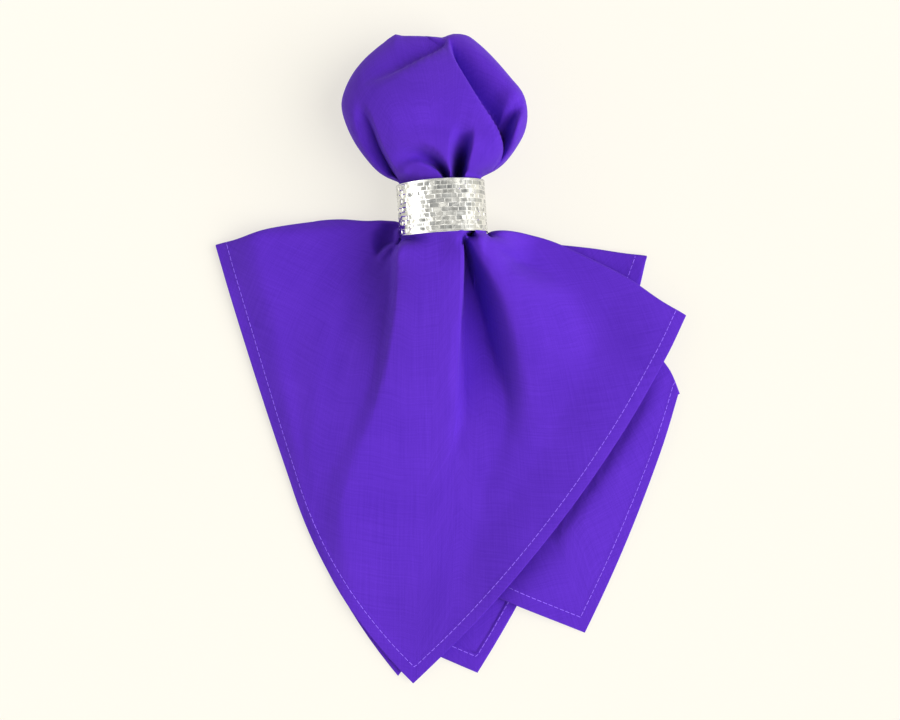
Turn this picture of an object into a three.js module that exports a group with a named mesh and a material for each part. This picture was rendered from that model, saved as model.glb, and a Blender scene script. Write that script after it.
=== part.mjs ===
// A square cloth napkin drawn through a metal napkin ring and laid on a table: a puff of cloth stands
// at one end, and the skirt spreads at the other in eight layers, with its four corners fanned out.
// The cloth is one closed sheet. It is worked out as rays from the napkin's middle to its hem: through
// the puff, the ring, the ring's mouth and down the skirt. Millimetres, with +Z up.
import * as THREE from "three";

// Driving sizes, in millimetres
const CLOTH_THICK = 1;
const LAYER_PITCH = 1.6; // from the middle of one layer to the next, where layers lie in a stack
const RING_RADIUS = 23;
const RING_WALL = 0.8;
const RING_LENGTH = 27;
const RING_LIP = 1.2; // width of the plain lip at each rim
const LIP_PROUD = 0.25; // how far the lips stand out over the band's face
const RING_TURN = 3.7; // degrees that the ring's axis leans to the left in plan
const MOUTH_RADIUS = 19.6; // middle of the cloth where it leaves the ring
const WAIST_RADIUS = 21.2; // middle of the cloth half way through the ring
const MOUTH_Y = -RING_LENGTH / 2;
const REST_LEVEL = CLOTH_THICK / 2;

// Folds and corners in order around the hem. Angle is the direction from the napkin's middle, in
// degrees, and x and y are where that point of the hem lies, from the ring's foot, with y along the
// ring's axis. Bow is how far the hem swells outwards on its way to the next row. Mouth is the ray's
// place across the ring's mouth, as a share of the cloth's radius there, and shoulder is how far the
// ray swings up beside the ring on its way out.
const HEM = [
  { name: "left fold", angle: -45.5, x: -120.9, y: -9.9, bow: 14, mouth: -0.82, shoulder: 12.5 },
  { name: "front corner", angle: 0, x: -31.4, y: -247.9, bow: 11, mouth: -0.1, shoulder: 0 },
  { name: "right fold", angle: 43, x: 124.6, y: -63.3, bow: 0, mouth: 0.78, shoulder: 12.5 },
  { name: "front pleat", angle: 81, x: 4.6, y: -199.1, bow: 0, mouth: 0.5, shoulder: 0 },
  { name: "right corner", angle: 90, x: 61.4, y: -227.4, bow: 2, mouth: 0.64, shoulder: 0 },
  { name: "second fold", angle: 111, x: 119.2, y: -103.6, bow: 0, mouth: 0.9, shoulder: 11 },
  { name: "middle pleat", angle: 124, x: 64.7, y: -74.1, bow: 0, mouth: 0.5, shoulder: 2 },
  { name: "third fold", angle: 138, x: 107, y: -30.5, bow: 9, mouth: 0.9, shoulder: 6 },
  { name: "back corner", angle: 180, x: 3, y: -244.9, bow: 0, mouth: 0.6, shoulder: 0 },
  { name: "back pleat", angle: 208, x: -88.2, y: -109.5, bow: 0, mouth: 0.35, shoulder: 0 },
  { name: "inner fold", angle: 243.5, x: 62.8, y: -124.7, bow: 0, mouth: 0.78, shoulder: 3 },
  { name: "left corner", angle: 270, x: -39.3, y: -244, bow: 13, mouth: 0, shoulder: 0 },
  { name: "left fold", angle: 314.5, x: -120.9, y: -9.9, bow: 0, mouth: -0.82, shoulder: 12.5 },
];

// The skirt's layers from the top down. Height is the layer's share of the loft that the ring's round
// mouth gives, and angles are the rays that its mesh follows, from one fold to the next.
const LAYERS = [
  {
    name: "front panel",
    height: 1,
    angles: [-45.5, -42, -37, -31, -25, -19, -15, -12, -10, -8, -5, -2, 0, 2, 4, 6, 8.5, 11, 14, 18, 24, 31, 38,
      43],
  },
  { name: "front turn-under", height: 0.7, angles: [43, 46, 51, 56, 62, 72, 81] },
  { name: "right panel", height: 0.6, angles: [81, 85, 90, 97, 103, 108, 111] },
  { name: "second turn-under", height: 0.5, angles: [111, 115, 120, 124] },
  { name: "third panel", height: 0.4, angles: [124, 129, 134, 138] },
  { name: "back panel", height: 0.3, angles: [138, 146, 154, 162, 171, 180, 190, 199, 208] },
  { name: "inner panel", height: 0.2, angles: [208, 217, 226, 235, 243.5] },
  { name: "base panel", height: 0, angles: [243.5, 252, 261, 270, 278, 286, 294, 301, 308, 314.5] },
];

// Where rays leave the ring's mouth on the front panel: beside its two folds, the left edge of the
// round middle ridge, its sharp right edge, and the bottom and right bank of the valley beside it.
const FRONT_MOUTH = [
  { angle: -45.5, mouth: -0.82 },
  { angle: -11, mouth: -0.66 },
  { angle: 0, mouth: -0.1 },
  { angle: 3, mouth: 0.42 },
  { angle: 13, mouth: 0.58 },
  { angle: 43, mouth: 0.78 },
];
const FRONT_END = FRONT_MOUTH[FRONT_MOUTH.length - 1].angle;

// Ridges and valleys of the front panel. Height is above the plain drape at their middle, left and
// right are their half-widths in degrees of the napkin, and reach is how far they run from the ring.
const FRONT_FOLDS = [
  { name: "recess under the left fold", angle: -29, height: -4, left: 9, right: 9, reach: 60 },
  { name: "valley left of the ridge", angle: -14, height: -4.5, left: 8, right: 3.5, reach: 110 },
  { name: "middle ridge", angle: -3, height: 5, left: 8, right: 6, reach: 150 },
  { name: "deep valley", angle: 10, height: -6, left: 6.5, right: 9, reach: 165 },
  { name: "right panel's swell", angle: 29, height: 3, left: 10, right: 12, reach: 190 },
];

// The puff's cross-sections along the ring's axis: y from the ring's middle, the section's left and
// right sides, and its top and bottom over the table. The cloth is pressed flat where it would sink
// below the table.
const WAIST_TOP = RING_RADIUS + WAIST_RADIUS;
const WAIST_BOTTOM = RING_RADIUS - WAIST_RADIUS;
const PUFF = [
  { y: 0, left: -WAIST_RADIUS, right: WAIST_RADIUS, top: WAIST_TOP, bottom: WAIST_BOTTOM },
  { y: 13.5, left: -19.6, right: 19.6, top: 42.6, bottom: 3.4 },
  { y: 16, left: -21, right: 21.5, top: 43, bottom: 2.6 },
  { y: 19, left: -27.5, right: 29, top: 44.5, bottom: 1 },
  { y: 23, left: -32.6, right: 34.6, top: 47, bottom: -0.5 },
  { y: 30, left: -38, right: 40.6, top: 50, bottom: -2 },
  { y: 38, left: -42.8, right: 45.4, top: 52, bottom: -3 },
  { y: 47, left: -46.4, right: 47, top: 52.5, bottom: -3.5 },
  { y: 56, left: -48, right: 45.4, top: 51, bottom: -3 },
  { y: 64, left: -45.8, right: 40, top: 48, bottom: -2 },
  { y: 72, left: -41.2, right: 33.8, top: 44, bottom: -0.5 },
  { y: 79, left: -35, right: 27.8, top: 39.5, bottom: 2 },
  { y: 85, left: -27.4, right: 22.4, top: 34.5, bottom: 6 },
  { y: 88.7, left: -20.5, right: 14.5, top: 30, bottom: 11.5 },
];
const CROWN = { x: -3.5, y: 91, z: 20.8 };
const PUFF_MIDDLE = 22; // height of the widest part of the puff's sections

// Creases in the top of the puff. Each runs through three places, and the cloth on its low side (1 to
// the left of the run, -1 to the right) drops by depth within the edge and comes back over the width.
const PUFF_CREASES = [
  { name: "right lip", path: [[8, 84], [25.5, 46], [30, 19]], low: 1, depth: 9, edge: 3.5, width: 11 },
  { name: "left lip", path: [[-36, 53], [-30.5, 37], [-22, 17]], low: -1, depth: 7, edge: 3.5, width: 10 },
  { name: "crown facet", path: [[10, 84], [-9, 73], [-38, 63]], low: -1, depth: 5, edge: 4, width: 30 },
  { name: "deep pleat", path: [[13.5, 37], [11.5, 28], [9, 15]], low: 1, depth: 7, edge: 2, width: 3.5 },
  { name: "curved pleat", path: [[-25, 29], [-14, 23], [-3, 15.5]], low: 1, depth: 5, edge: 2.5, width: 4 },
];

// Small sums used throughout
const DEG = Math.PI / 180;
const clamp = (v, low, high) => Math.min(Math.max(v, low), high);
const mix = (a, b, share) => a + (b - a) * share;
const smooth = (v) => {
  const s = clamp(v, 0, 1);
  return s * s * (3 - 2 * s);
};
// Falls smoothly from 1 at nothing to 0 at 1, and steeper for a greater power.
const fade = (v, power) => (v >= 1 ? 0 : (1 - v * v) ** power);

// The two rows of a table that a place lies between.
function rowAfter(rows, key, at) {
  let i = 1;
  while (i < rows.length - 1 && rows[i][key] < at) i += 1;
  return i;
}

// The value at a place between rows of a table: straight lines between rows.
function between(rows, key, value, at) {
  const i = rowAfter(rows, key, at);
  const a = rows[i - 1];
  const b = rows[i];
  return mix(a[value], b[value], clamp((at - a[key]) / (b[key] - a[key]), 0, 1));
}

// The same, on a smooth curve: each row's slope follows the rows on its two sides.
function through(rows, key, value, at) {
  const i = rowAfter(rows, key, at);
  const slopeAt = (k) => {
    const low = rows[Math.max(k - 1, 0)];
    const high = rows[Math.min(k + 1, rows.length - 1)];
    return (high[value] - low[value]) / (high[key] - low[key]);
  };
  const a = rows[i - 1];
  const b = rows[i];
  const span = b[key] - a[key];
  const t = clamp((at - a[key]) / span, 0, 1);
  const bend = t * (1 - t) * span;
  return mix(a[value], b[value], smooth(t)) + bend * ((1 - t) * slopeAt(i - 1) - t * slopeAt(i));
}

// Which side of the run from a to b is away from the ring: 1 is to the left of it, -1 to the right.
function sideAway(a, b) {
  const cross = (b.x - a.x) * (MOUTH_Y - a.y) + (b.y - a.y) * a.x;
  return cross > 0 ? -1 : 1;
}

// The place on the hem at an angle from the napkin's middle. Between two rows the hem is an arc: its
// share of the way is its share of the square's side, and it swells outwards by the row's bow.
function hemPoint(angle) {
  const i = rowAfter(HEM, "angle", angle);
  const a = HEM[i - 1];
  const b = HEM[i];
  const middleOfSide = 90 * Math.floor((a.angle + b.angle) / 180) + 45;
  const alongSide = (turn) => Math.tan((turn - middleOfSide) * DEG);
  const share = (alongSide(angle) - alongSide(a.angle)) / (alongSide(b.angle) - alongSide(a.angle));
  const dx = b.x - a.x;
  const dy = b.y - a.y;
  const swell = (4 * a.bow * share * (1 - share) * sideAway(a, b)) / Math.hypot(dx, dy);
  return [mix(a.x, b.x, share) - swell * dy, mix(a.y, b.y, share) + swell * dx];
}

// One ray of the skirt in plan, from the ring's mouth (t = 0) to the hem (t = 1): straight out of the
// ring, around its lip, and on to the hem with a shoulder beside the ring. Way is the share of the
// straight run from the exit to the hem, and rise is the share of the shoulder.
const RAY_STEPS = [
  { t: 0, way: 0, rise: 0 },
  { t: 0.035, way: 0, rise: 0 },
  { t: 0.075, way: 0.055, rise: 0.02 },
  { t: 0.13, way: 0.115, rise: 0.55 },
  { t: 0.21, way: 0.19, rise: 0.95 },
  { t: 0.4, way: 0.38, rise: 1.1 },
  { t: 0.72, way: 0.7, rise: 0.74 },
  { t: 1, way: 1, rise: 0 },
];
const EXIT_LEG = 4; // how far the cloth runs on before it turns around the ring's lip
const EXIT_SPREAD = 1.15; // how much wider it stands there than in the mouth
const WIDE_SHOULDER = 14; // a shoulder this wide stays whole, and a smaller one shrinks by its share
function rayPoint(angle, t) {
  const mouthRows = angle <= FRONT_END ? FRONT_MOUTH : HEM;
  const mouth = MOUTH_RADIUS * between(mouthRows, "angle", "mouth", angle);
  const shoulder = between(HEM, "angle", "shoulder", angle) ** 2 / WIDE_SHOULDER;
  const hem = hemPoint(angle);
  const exit = [mouth * EXIT_SPREAD, MOUTH_Y - EXIT_LEG];
  const steps = RAY_STEPS.map((row, k) => ({
    t: row.t,
    x: k === 0 ? mouth : mix(exit[0], hem[0], row.way),
    y: k === 0 ? MOUTH_Y : mix(exit[1], hem[1], row.way) + shoulder * row.rise,
  }));
  return [through(steps, "t", "x", t), through(steps, "t", "y", t)];
}

// Where a place in plan lies around the ring's mouth, on ellipses and hyperbolas about its two ends:
// away is the distance from the mouth and across is the place over the mouth that it comes from.
function fromMouth(x, y) {
  const toLeft = Math.hypot(x + MOUTH_RADIUS, y - MOUTH_Y);
  const toRight = Math.hypot(x - MOUTH_RADIUS, y - MOUTH_Y);
  const stretch = Math.max((toLeft + toRight) / (2 * MOUTH_RADIUS), 1);
  return {
    away: MOUTH_RADIUS * Math.sqrt(stretch * stretch - 1),
    across: clamp((toLeft - toRight) / 2, -MOUTH_RADIUS, MOUTH_RADIUS),
  };
}

// The outline of each layer, sampled along its two folds and its hem.
const FOLD_SAMPLES = [0, 0.05, 0.12, 0.22, 0.36, 0.52, 0.7, 0.86, 1];
const OUTLINES = LAYERS.map(({ angles }) => {
  const last = angles[angles.length - 1];
  return [
    ...FOLD_SAMPLES.map((t) => rayPoint(angles[0], t)),
    ...angles.slice(1, -1).map((angle) => rayPoint(angle, 1)),
    ...FOLD_SAMPLES.map((t) => rayPoint(last, 1 - t)),
  ];
});

// How far a place lies outside an outline: 0 inside it.
function outside(outline, x, y) {
  let inside = false;
  let nearest = Infinity;
  outline.forEach(([ax, ay], i) => {
    const [bx, by] = outline[(i + 1) % outline.length];
    if (ay > y !== by > y && x < mix(ax, bx, (y - ay) / (by - ay))) inside = !inside;
    const length = (bx - ax) ** 2 + (by - ay) ** 2;
    const share = length > 0 ? clamp(((x - ax) * (bx - ax) + (y - ay) * (by - ay)) / length, 0, 1) : 0;
    nearest = Math.min(nearest, Math.hypot(x - mix(ax, bx, share), y - mix(ay, by, share)));
  });
  return inside ? 0 : nearest;
}

// Heights of the skirt. Each reach is a distance from the ring's mouth.
const ROUND_REACH = 12; // where the section has changed from the ring's circle to a soft hump
const BASE_REACH = 46; // where the lowest layer has come down to the table
const LOFT_REACH = 130; // where the cloth no longer stands up over its stack
const STACK_REACH = 20; // where the layers have closed up into a stack
const STEEP_PITCH = 0.8; // how much wider the layers stand where they slope down beside the ring
const LOOSE_PITCH = 0.35; // how much wider they stand in the rest of the skirt's upper part
const LOOSE_REACH = 170;
const WING_LOFT = 6; // how much the two wings swell beside the ring
const WING_PEAK = 26;
const SINK_REACH = 40; // over how far a layer sinks where the one beneath it ends
const LAYER_MARGIN = 9; // how far past a layer its lift stays whole

// How high the layers beneath lift a layer at a place: one pitch for each that lies there.
function stackUnder(layer, x, y) {
  const lifts = OUTLINES.slice(layer + 1).map((outline) => {
    const past = Math.max(outside(outline, x, y) - LAYER_MARGIN, 0);
    return fade(past / SINK_REACH, 2) * LAYER_PITCH;
  });
  return lifts.reduce((sum, lift) => sum + lift, 0);
}

// Ridges and valleys of the front panel at a ray's angle and a distance from the mouth. Valleys stay
// within the room over the layer beneath.
function frontRelief(angle, away, room) {
  let relief = 0;
  for (const fold of FRONT_FOLDS) {
    const half = angle < fold.angle ? fold.left : fold.right;
    const run = smooth(away / ROUND_REACH) * fade(away / fold.reach, 1.5);
    relief += fold.height * fade(Math.abs(angle - fold.angle) / half, 2) * run;
  }
  return relief > 0 ? relief : -room * (1 - Math.exp(relief / (room + 0.1)));
}

// The height of the middle of a layer at a place: the base, the stack on it, and the layer's share of
// the loft over them.
function layerHeight(layer, x, y, angle) {
  const { away, across } = fromMouth(x, y);
  const share = across / MOUTH_RADIUS;
  const rise = MOUTH_RADIUS * (1 - share * share) ** mix(0.5, 1, smooth(away / ROUND_REACH));
  const base = REST_LEVEL + (RING_RADIUS - rise - REST_LEVEL) * fade(away / BASE_REACH, 3);
  const loose = STEEP_PITCH * fade(away / BASE_REACH, 2) + LOOSE_PITCH * fade(away / LOOSE_REACH, 1);
  const closed = (1 - fade(away / STACK_REACH, 3)) * (1 + loose);
  const sideways = 1 - rise / MOUTH_RADIUS;
  const wing = WING_LOFT * (away / WING_PEAK) * Math.exp(1 - away / WING_PEAK) * sideways;
  const hump = 2 * rise * fade(away / LOFT_REACH, 4) + wing * fade(away / LOFT_REACH, 2);
  const loft = Math.max(hump - stackUnder(0, x, y) * closed, 0);
  const height = base + stackUnder(layer, x, y) * closed + loft * LAYERS[layer].height;
  return layer === 0 ? height + frontRelief(angle, away, loft * (1 - LAYERS[1].height)) : height;
}

// The columns of the cloth's mesh around the loop: the rays of each layer, then its fold to the next.
const FOLD_STEPS = 3;
const LEFT_FOLD_STEPS = 5;
const columns = LAYERS.flatMap(({ angles }, layer) => {
  const last = angles[angles.length - 1];
  const steps = layer === LAYERS.length - 1 ? LEFT_FOLD_STEPS : FOLD_STEPS;
  const rolls = Array.from({ length: steps }, (_, k) => (Math.PI * (k + 1)) / (steps + 1));
  return [
    ...angles.map((angle) => ({ layer, angle })),
    ...rolls.map((roll) => ({ fold: layer, angle: last, roll })),
  ];
});

// A fold's edge at t, with the direction in plan that its round side faces, and its roll's radius.
const MOUTH_ROLL = 3.5; // the widest roll in the ring's mouth
const SKIRT_ROLL = 1.7; // the widest roll in the skirt
const ROLL_CHANGE = 0.03; // share of the ray over which one becomes the other
function foldEdge(index, angle, t) {
  const step = 0.004;
  const [ax, ay] = rayPoint(angle, Math.max(t - step, 0));
  const [bx, by] = rayPoint(angle, Math.min(t + step, 1));
  const length = Math.hypot(bx - ax, by - ay);
  const turn = index % 2 === 0 ? 1 : -1; // even layers sweep from left to right
  const out = [(-(by - ay) / length) * turn, ((bx - ax) / length) * turn];
  const [x, y] = rayPoint(angle, t);
  const next = (index + 1) % LAYERS.length;
  const gap = Math.abs(layerHeight(index, x, y, angle) - layerHeight(next, x, y, angle));
  const widest = mix(MOUTH_ROLL, SKIRT_ROLL, smooth(t / ROLL_CHANGE));
  return { x, y, out, radius: clamp(gap / 2, LAYER_PITCH / 2, widest), next };
}

// A point of the cloth's middle surface in the skirt: on a layer's ray, or on a fold's half round.
function skirtPoint(column, t) {
  if (column.roll === undefined) {
    const [x, y] = rayPoint(column.angle, t);
    return [x, y, layerHeight(column.layer, x, y, column.angle)];
  }
  const edge = foldEdge(column.fold, column.angle, t);
  const nextAngle = edge.next === 0 ? LAYERS[0].angles[0] : column.angle;
  const from = layerHeight(column.fold, edge.x, edge.y, column.angle);
  const to = layerHeight(edge.next, edge.x, edge.y, nextAngle);
  const reach = edge.radius * Math.sin(column.roll);
  return [
    edge.x + edge.out[0] * reach,
    edge.y + edge.out[1] * reach,
    (from + to) / 2 + ((from - to) / 2) * Math.cos(column.roll),
  ];
}

// Where each column meets the ring's round waist. The front and base panels go straight back, and the
// turned-under layers between them close up evenly at the right. Turns run clockwise seen along the
// axis from the skirt: from the left over the top to the right.
const LEAST_TURN = 0.002; // radians between neighbouring columns at the waist
const mouthPoints = columns.map((column) => skirtPoint(column, 0));
const middleOfFold = (fold) => columns.findIndex((column) => column.fold === fold) + (FOLD_STEPS - 1) / 2;
const frontEnd = middleOfFold(0);
const baseStart = middleOfFold(LAYERS.length - 2);
const turnAtMouth = (i) => Math.atan2(mouthPoints[i][2] - RING_RADIUS, mouthPoints[i][0]);
const waistTurns = columns.map((column, i) => {
  if (i <= frontEnd || i >= baseStart) return turnAtMouth(i);
  return mix(turnAtMouth(frontEnd), turnAtMouth(baseStart), (i - frontEnd) / (baseStart - frontEnd));
});
waistTurns.forEach((turn, i) => {
  if (i === 0) return;
  const whole = Math.round((waistTurns[i - 1] - turn) / (2 * Math.PI));
  waistTurns[i] = Math.min(turn + whole * 2 * Math.PI, waistTurns[i - 1] - LEAST_TURN);
});

// The puff's even spread of the same rays: the first one stands at the puff's upper left.
const FIRST_TURN = 0.75 * Math.PI;
const SPREAD_START = 4; // the rays spread evenly from here
const SPREAD_LENGTH = 40; // over this far along the ring's axis
const puffTurns = columns.map((column, i) => FIRST_TURN - (2 * Math.PI * i) / columns.length);

// A point of the cloth's middle surface inside the ring, on the skirt's side.
function ringPoint(i, y) {
  const share = smooth(1 - y / MOUTH_Y);
  const radius = mix(MOUTH_RADIUS, WAIST_RADIUS, share);
  return [
    mix(mouthPoints[i][0], radius * Math.cos(waistTurns[i]), share),
    y,
    mix(mouthPoints[i][2], RING_RADIUS + radius * Math.sin(waistTurns[i]), share),
  ];
}

// The nearest place on a crease to a place in plan, along a smooth bend through the crease's three:
// s is its share of the run, and side is how far the place lies over to the crease's low side.
const CREASE_PIECES = 12;
function nearestOnCrease({ path: [start, middle, end], low }, x, y) {
  const handle = [0, 1].map((k) => 2 * middle[k] - (start[k] + end[k]) / 2);
  let best = { distance: Infinity };
  for (let k = 0; k <= CREASE_PIECES; k += 1) {
    const s = k / CREASE_PIECES;
    const first = [0, 1].map((c) => mix(start[c], handle[c], s));
    const second = [0, 1].map((c) => mix(handle[c], end[c], s));
    const along = [second[0] - first[0], second[1] - first[1]];
    const off = [x - mix(first[0], second[0], s), y - mix(first[1], second[1], s)];
    const distance = Math.hypot(...off);
    if (distance < best.distance) {
      best = { distance, s, side: (low * (along[0] * off[1] - along[1] * off[0])) / Math.hypot(...along) };
    }
  }
  return best;
}

// How deep the puff's creases press the top in at a place. Each starts and ends in a fifth of its run.
function creaseDepth(x, y) {
  return PUFF_CREASES.reduce((depth, crease) => {
    const { s, side } = nearestOnCrease(crease, x, y);
    const back = fade(clamp((side - crease.edge) / crease.width, 0, 1), 1);
    return depth + crease.depth * smooth(side / crease.edge) * back * smooth(s * 5) * smooth((1 - s) * 5 + 0.3);
  }, 0);
}

// A point of the cloth's middle surface from the ring's waist through the puff. Its creases lie in
// the upper side, and fade at the ring's lip and at the crown.
const ABOVE_WIDEST = 1.6; // how fast creases deepen from the puff's widest line upwards
const CREASE_START = { y: 13, over: 5 };
const CREASE_END = { y: 92, over: 10 };
function puffPoint(i, y) {
  const turn = mix(waistTurns[i], puffTurns[i], smooth((y - SPREAD_START) / SPREAD_LENGTH));
  const middle = mix(RING_RADIUS, PUFF_MIDDLE, smooth(y / RING_LENGTH));
  const side = Math.cos(turn);
  const up = Math.sin(turn);
  const x = Math.abs(side) * through(PUFF, "y", side > 0 ? "right" : "left", y);
  const z = mix(middle, through(PUFF, "y", up > 0 ? "top" : "bottom", y), Math.abs(up));
  const ends = smooth((y - CREASE_START.y) / CREASE_START.over) * smooth((CREASE_END.y - y) / CREASE_END.over);
  const pressed = creaseDepth(x, y) * smooth(up * ABOVE_WIDEST) * ends;
  return [x, y, Math.max(z - pressed, REST_LEVEL)];
}

// Rows of the mesh from the hem to the crown: shares of the ray in the skirt, then y along the axis.
const SKIRT_ROWS = [1, 0.9, 0.79, 0.68, 0.57, 0.46, 0.36, 0.27, 0.19, 0.13, 0.085, 0.05, 0.022, 0];
const RING_ROWS = [-9, -4.5];
const PUFF_ROWS = [0, 7, 13.5, 16, 19, 23, 29, 36, 44, 53, 62, 71, 79, 85, 88.7];
const rows = [
  ...SKIRT_ROWS.map((t) => columns.map((column) => skirtPoint(column, t))),
  ...RING_ROWS.map((y) => columns.map((column, i) => ringPoint(i, y))),
  ...PUFF_ROWS.map((y) => columns.map((column, i) => puffPoint(i, y))),
];

// A closed sheet around a middle surface: each point is carried half the thickness to both sides
// along its normal, the two skins meet in a rim at the hem, and each is closed at the crown.
function sheet(middleRows, crown, thick) {
  const around = middleRows[0].length;
  const down = middleRows.length;
  const points = [...middleRows.flat(), [crown.x, crown.y, crown.z]].map((p) => new THREE.Vector3(...p));
  const at = (row, column) => row * around + (column % around);
  const pole = down * around;
  const faces = [];
  for (let row = 0; row < down - 1; row += 1) {
    for (let column = 0; column < around; column += 1) {
      faces.push([at(row, column), at(row, column + 1), at(row + 1, column + 1)]);
      faces.push([at(row, column), at(row + 1, column + 1), at(row + 1, column)]);
    }
  }
  for (let column = 0; column < around; column += 1) {
    faces.push([at(down - 1, column), at(down - 1, column + 1), pole]);
  }
  const normals = points.map(() => new THREE.Vector3());
  for (const [a, b, c] of faces) {
    const ab = points[b].clone().sub(points[a]);
    const ac = points[c].clone().sub(points[a]);
    const normal = ab.cross(ac);
    for (const corner of [a, b, c]) normals[corner].add(normal);
  }
  const outer = points.map((p, i) => p.clone().addScaledVector(normals[i].normalize(), thick / 2));
  const inner = points.map((p, i) => p.clone().addScaledVector(normals[i], -thick / 2));
  const count = points.length;
  const index = faces.flatMap(([a, b, c]) => [a, b, c, count + a, count + c, count + b]);
  for (let column = 0; column < around; column += 1) {
    const a = at(0, column);
    const b = at(0, column + 1);
    index.push(a, count + b, b, a, count + a, count + b);
  }
  const geometry = new THREE.BufferGeometry();
  geometry.setFromPoints([...outer, ...inner]);
  geometry.setIndex(index);
  geometry.computeVertexNormals();
  return geometry;
}

// The ring: a thin band turned about its axis, with a plain round lip standing out at each rim.
const BAND_FACETS = 80;
const EDGE_BREAK = 0.2; // width of the small bevel at each edge
function band() {
  const bore = RING_RADIUS - RING_WALL;
  const face = RING_RADIUS - LIP_PROUD;
  const half = RING_LENGTH / 2;
  const side = [
    [face, half - RING_LIP - EDGE_BREAK],
    [RING_RADIUS - EDGE_BREAK / 4, half - RING_LIP],
    [RING_RADIUS, half - RING_LIP / 2],
    [RING_RADIUS - EDGE_BREAK, half],
    [bore + EDGE_BREAK, half],
    [bore, half - EDGE_BREAK],
  ];
  const profile = [...side, ...side.map(([r, y]) => [r, -y]).reverse(), side[0]];
  return new THREE.LatheGeometry(profile.map(([r, y]) => new THREE.Vector2(r, y)), BAND_FACETS);
}

const cloth = new THREE.MeshStandardMaterial({ color: 0x5b2dbb, roughness: 0.9, metalness: 0 });
const silver = new THREE.MeshStandardMaterial({ color: 0xc9ccc6, roughness: 0.3, metalness: 1 });

const napkin = new THREE.Mesh(sheet(rows, CROWN, CLOTH_THICK), cloth);
napkin.name = "napkin";

const ring = new THREE.Mesh(band(), silver);
ring.name = "ring";
ring.position.z = RING_RADIUS;

const laid = new THREE.Group();
laid.add(napkin, ring);
laid.rotation.z = RING_TURN * DEG;

// The part's origin is under the middle of its outline, on the table.
const part = new THREE.Group();
part.add(laid);
const box = new THREE.Box3().setFromObject(part, true);
laid.position.set(-(box.min.x + box.max.x) / 2, -(box.min.y + box.max.y) / 2, -box.min.z);

export default part;
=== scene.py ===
import bmesh
import bpy
import numpy as np
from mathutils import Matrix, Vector


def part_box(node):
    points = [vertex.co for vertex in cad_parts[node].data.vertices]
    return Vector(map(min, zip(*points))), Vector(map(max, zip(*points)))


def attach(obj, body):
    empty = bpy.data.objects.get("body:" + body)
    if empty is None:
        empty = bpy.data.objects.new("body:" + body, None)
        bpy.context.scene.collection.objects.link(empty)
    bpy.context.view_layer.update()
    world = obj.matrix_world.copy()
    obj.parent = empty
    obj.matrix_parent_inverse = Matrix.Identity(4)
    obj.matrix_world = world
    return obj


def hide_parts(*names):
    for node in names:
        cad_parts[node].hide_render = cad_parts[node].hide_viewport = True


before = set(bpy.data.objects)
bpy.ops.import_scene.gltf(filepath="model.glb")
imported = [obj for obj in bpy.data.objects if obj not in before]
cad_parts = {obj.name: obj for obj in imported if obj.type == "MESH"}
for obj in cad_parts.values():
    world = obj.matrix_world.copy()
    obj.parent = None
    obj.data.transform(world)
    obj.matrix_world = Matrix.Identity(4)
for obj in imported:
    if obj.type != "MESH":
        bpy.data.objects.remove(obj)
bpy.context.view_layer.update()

# The camera hangs straight over the table, as for a product photo, with the ring a little above the
# middle of the picture. The ring is the one hard piece, so every place is measured from its foot.
RING_TURN = np.radians(3.7)
ring_low, ring_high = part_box("ring")
ring_foot = np.array([(ring_low.x + ring_high.x) / 2, (ring_low.y + ring_high.y) / 2, 0.0])
CAMERA_HEIGHT = 0.75
PICTURE_WIDTH = 0.48
RING_IN_PICTURE = (-0.004187, 0.077749)
SENSOR_WIDTH = 36.0
MILLIMETRE = 0.001


def placed(name, data):
    """A new object of this data, linked to the scene."""
    made = bpy.data.objects.new(name, data)
    bpy.context.scene.collection.objects.link(made)
    return made


camera = placed("camera", bpy.data.cameras.new("camera"))
camera.data.sensor_width = SENSOR_WIDTH
camera.data.lens = SENSOR_WIDTH * CAMERA_HEIGHT / PICTURE_WIDTH
camera.location = (ring_foot[0] - RING_IN_PICTURE[0], ring_foot[1] - RING_IN_PICTURE[1], CAMERA_HEIGHT)
bpy.context.scene.camera = camera


def in_part(points):
    """Millimetres from the ring's foot as metres in the part's frame: turned by the ring's lean, and
    then moved to its foot."""
    points = np.asarray(points, float) * MILLIMETRE
    x = points[..., 0] * np.cos(RING_TURN) - points[..., 1] * np.sin(RING_TURN)
    y = points[..., 0] * np.sin(RING_TURN) + points[..., 1] * np.cos(RING_TURN)
    return np.stack([x, y, points[..., 2]], axis=-1) + ring_foot


# The table is a smooth cream-white sheet of acrylic, lit from beneath as for product photos, so that
# shadows on it stay faint.
TABLE_HALF = 2.5
TABLE_GRAIN = 9.0  # clouds in each metre of its colour
TABLE_GLOW = 0.7
table_mesh = bpy.data.meshes.new("table")
table_corners = [(x * TABLE_HALF, y * TABLE_HALF, 0) for x, y in ((-1, -1), (1, -1), (1, 1), (-1, 1))]
table_mesh.from_pydata(table_corners, [], [(0, 1, 2, 3)])
table = placed("table", table_mesh)


def put(tree, kind, *values, **settings):
    """A new node of a kind with its settings. Each value goes to the input of the same place in order:
    a socket is linked, anything else is set, and None leaves the input as it is."""
    made = tree.nodes.new(kind)
    for name, value in settings.items():
        setattr(made, name, value)
    for socket, value in zip(made.inputs, values):
        if isinstance(value, bpy.types.NodeSocket):
            tree.links.new(value, socket)
        elif value is not None:
            socket.default_value = value
    return made


def math(tree, operation, *values):
    """The value of a math node."""
    return put(tree, "ShaderNodeMath", *values, operation=operation).outputs[0]


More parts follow.
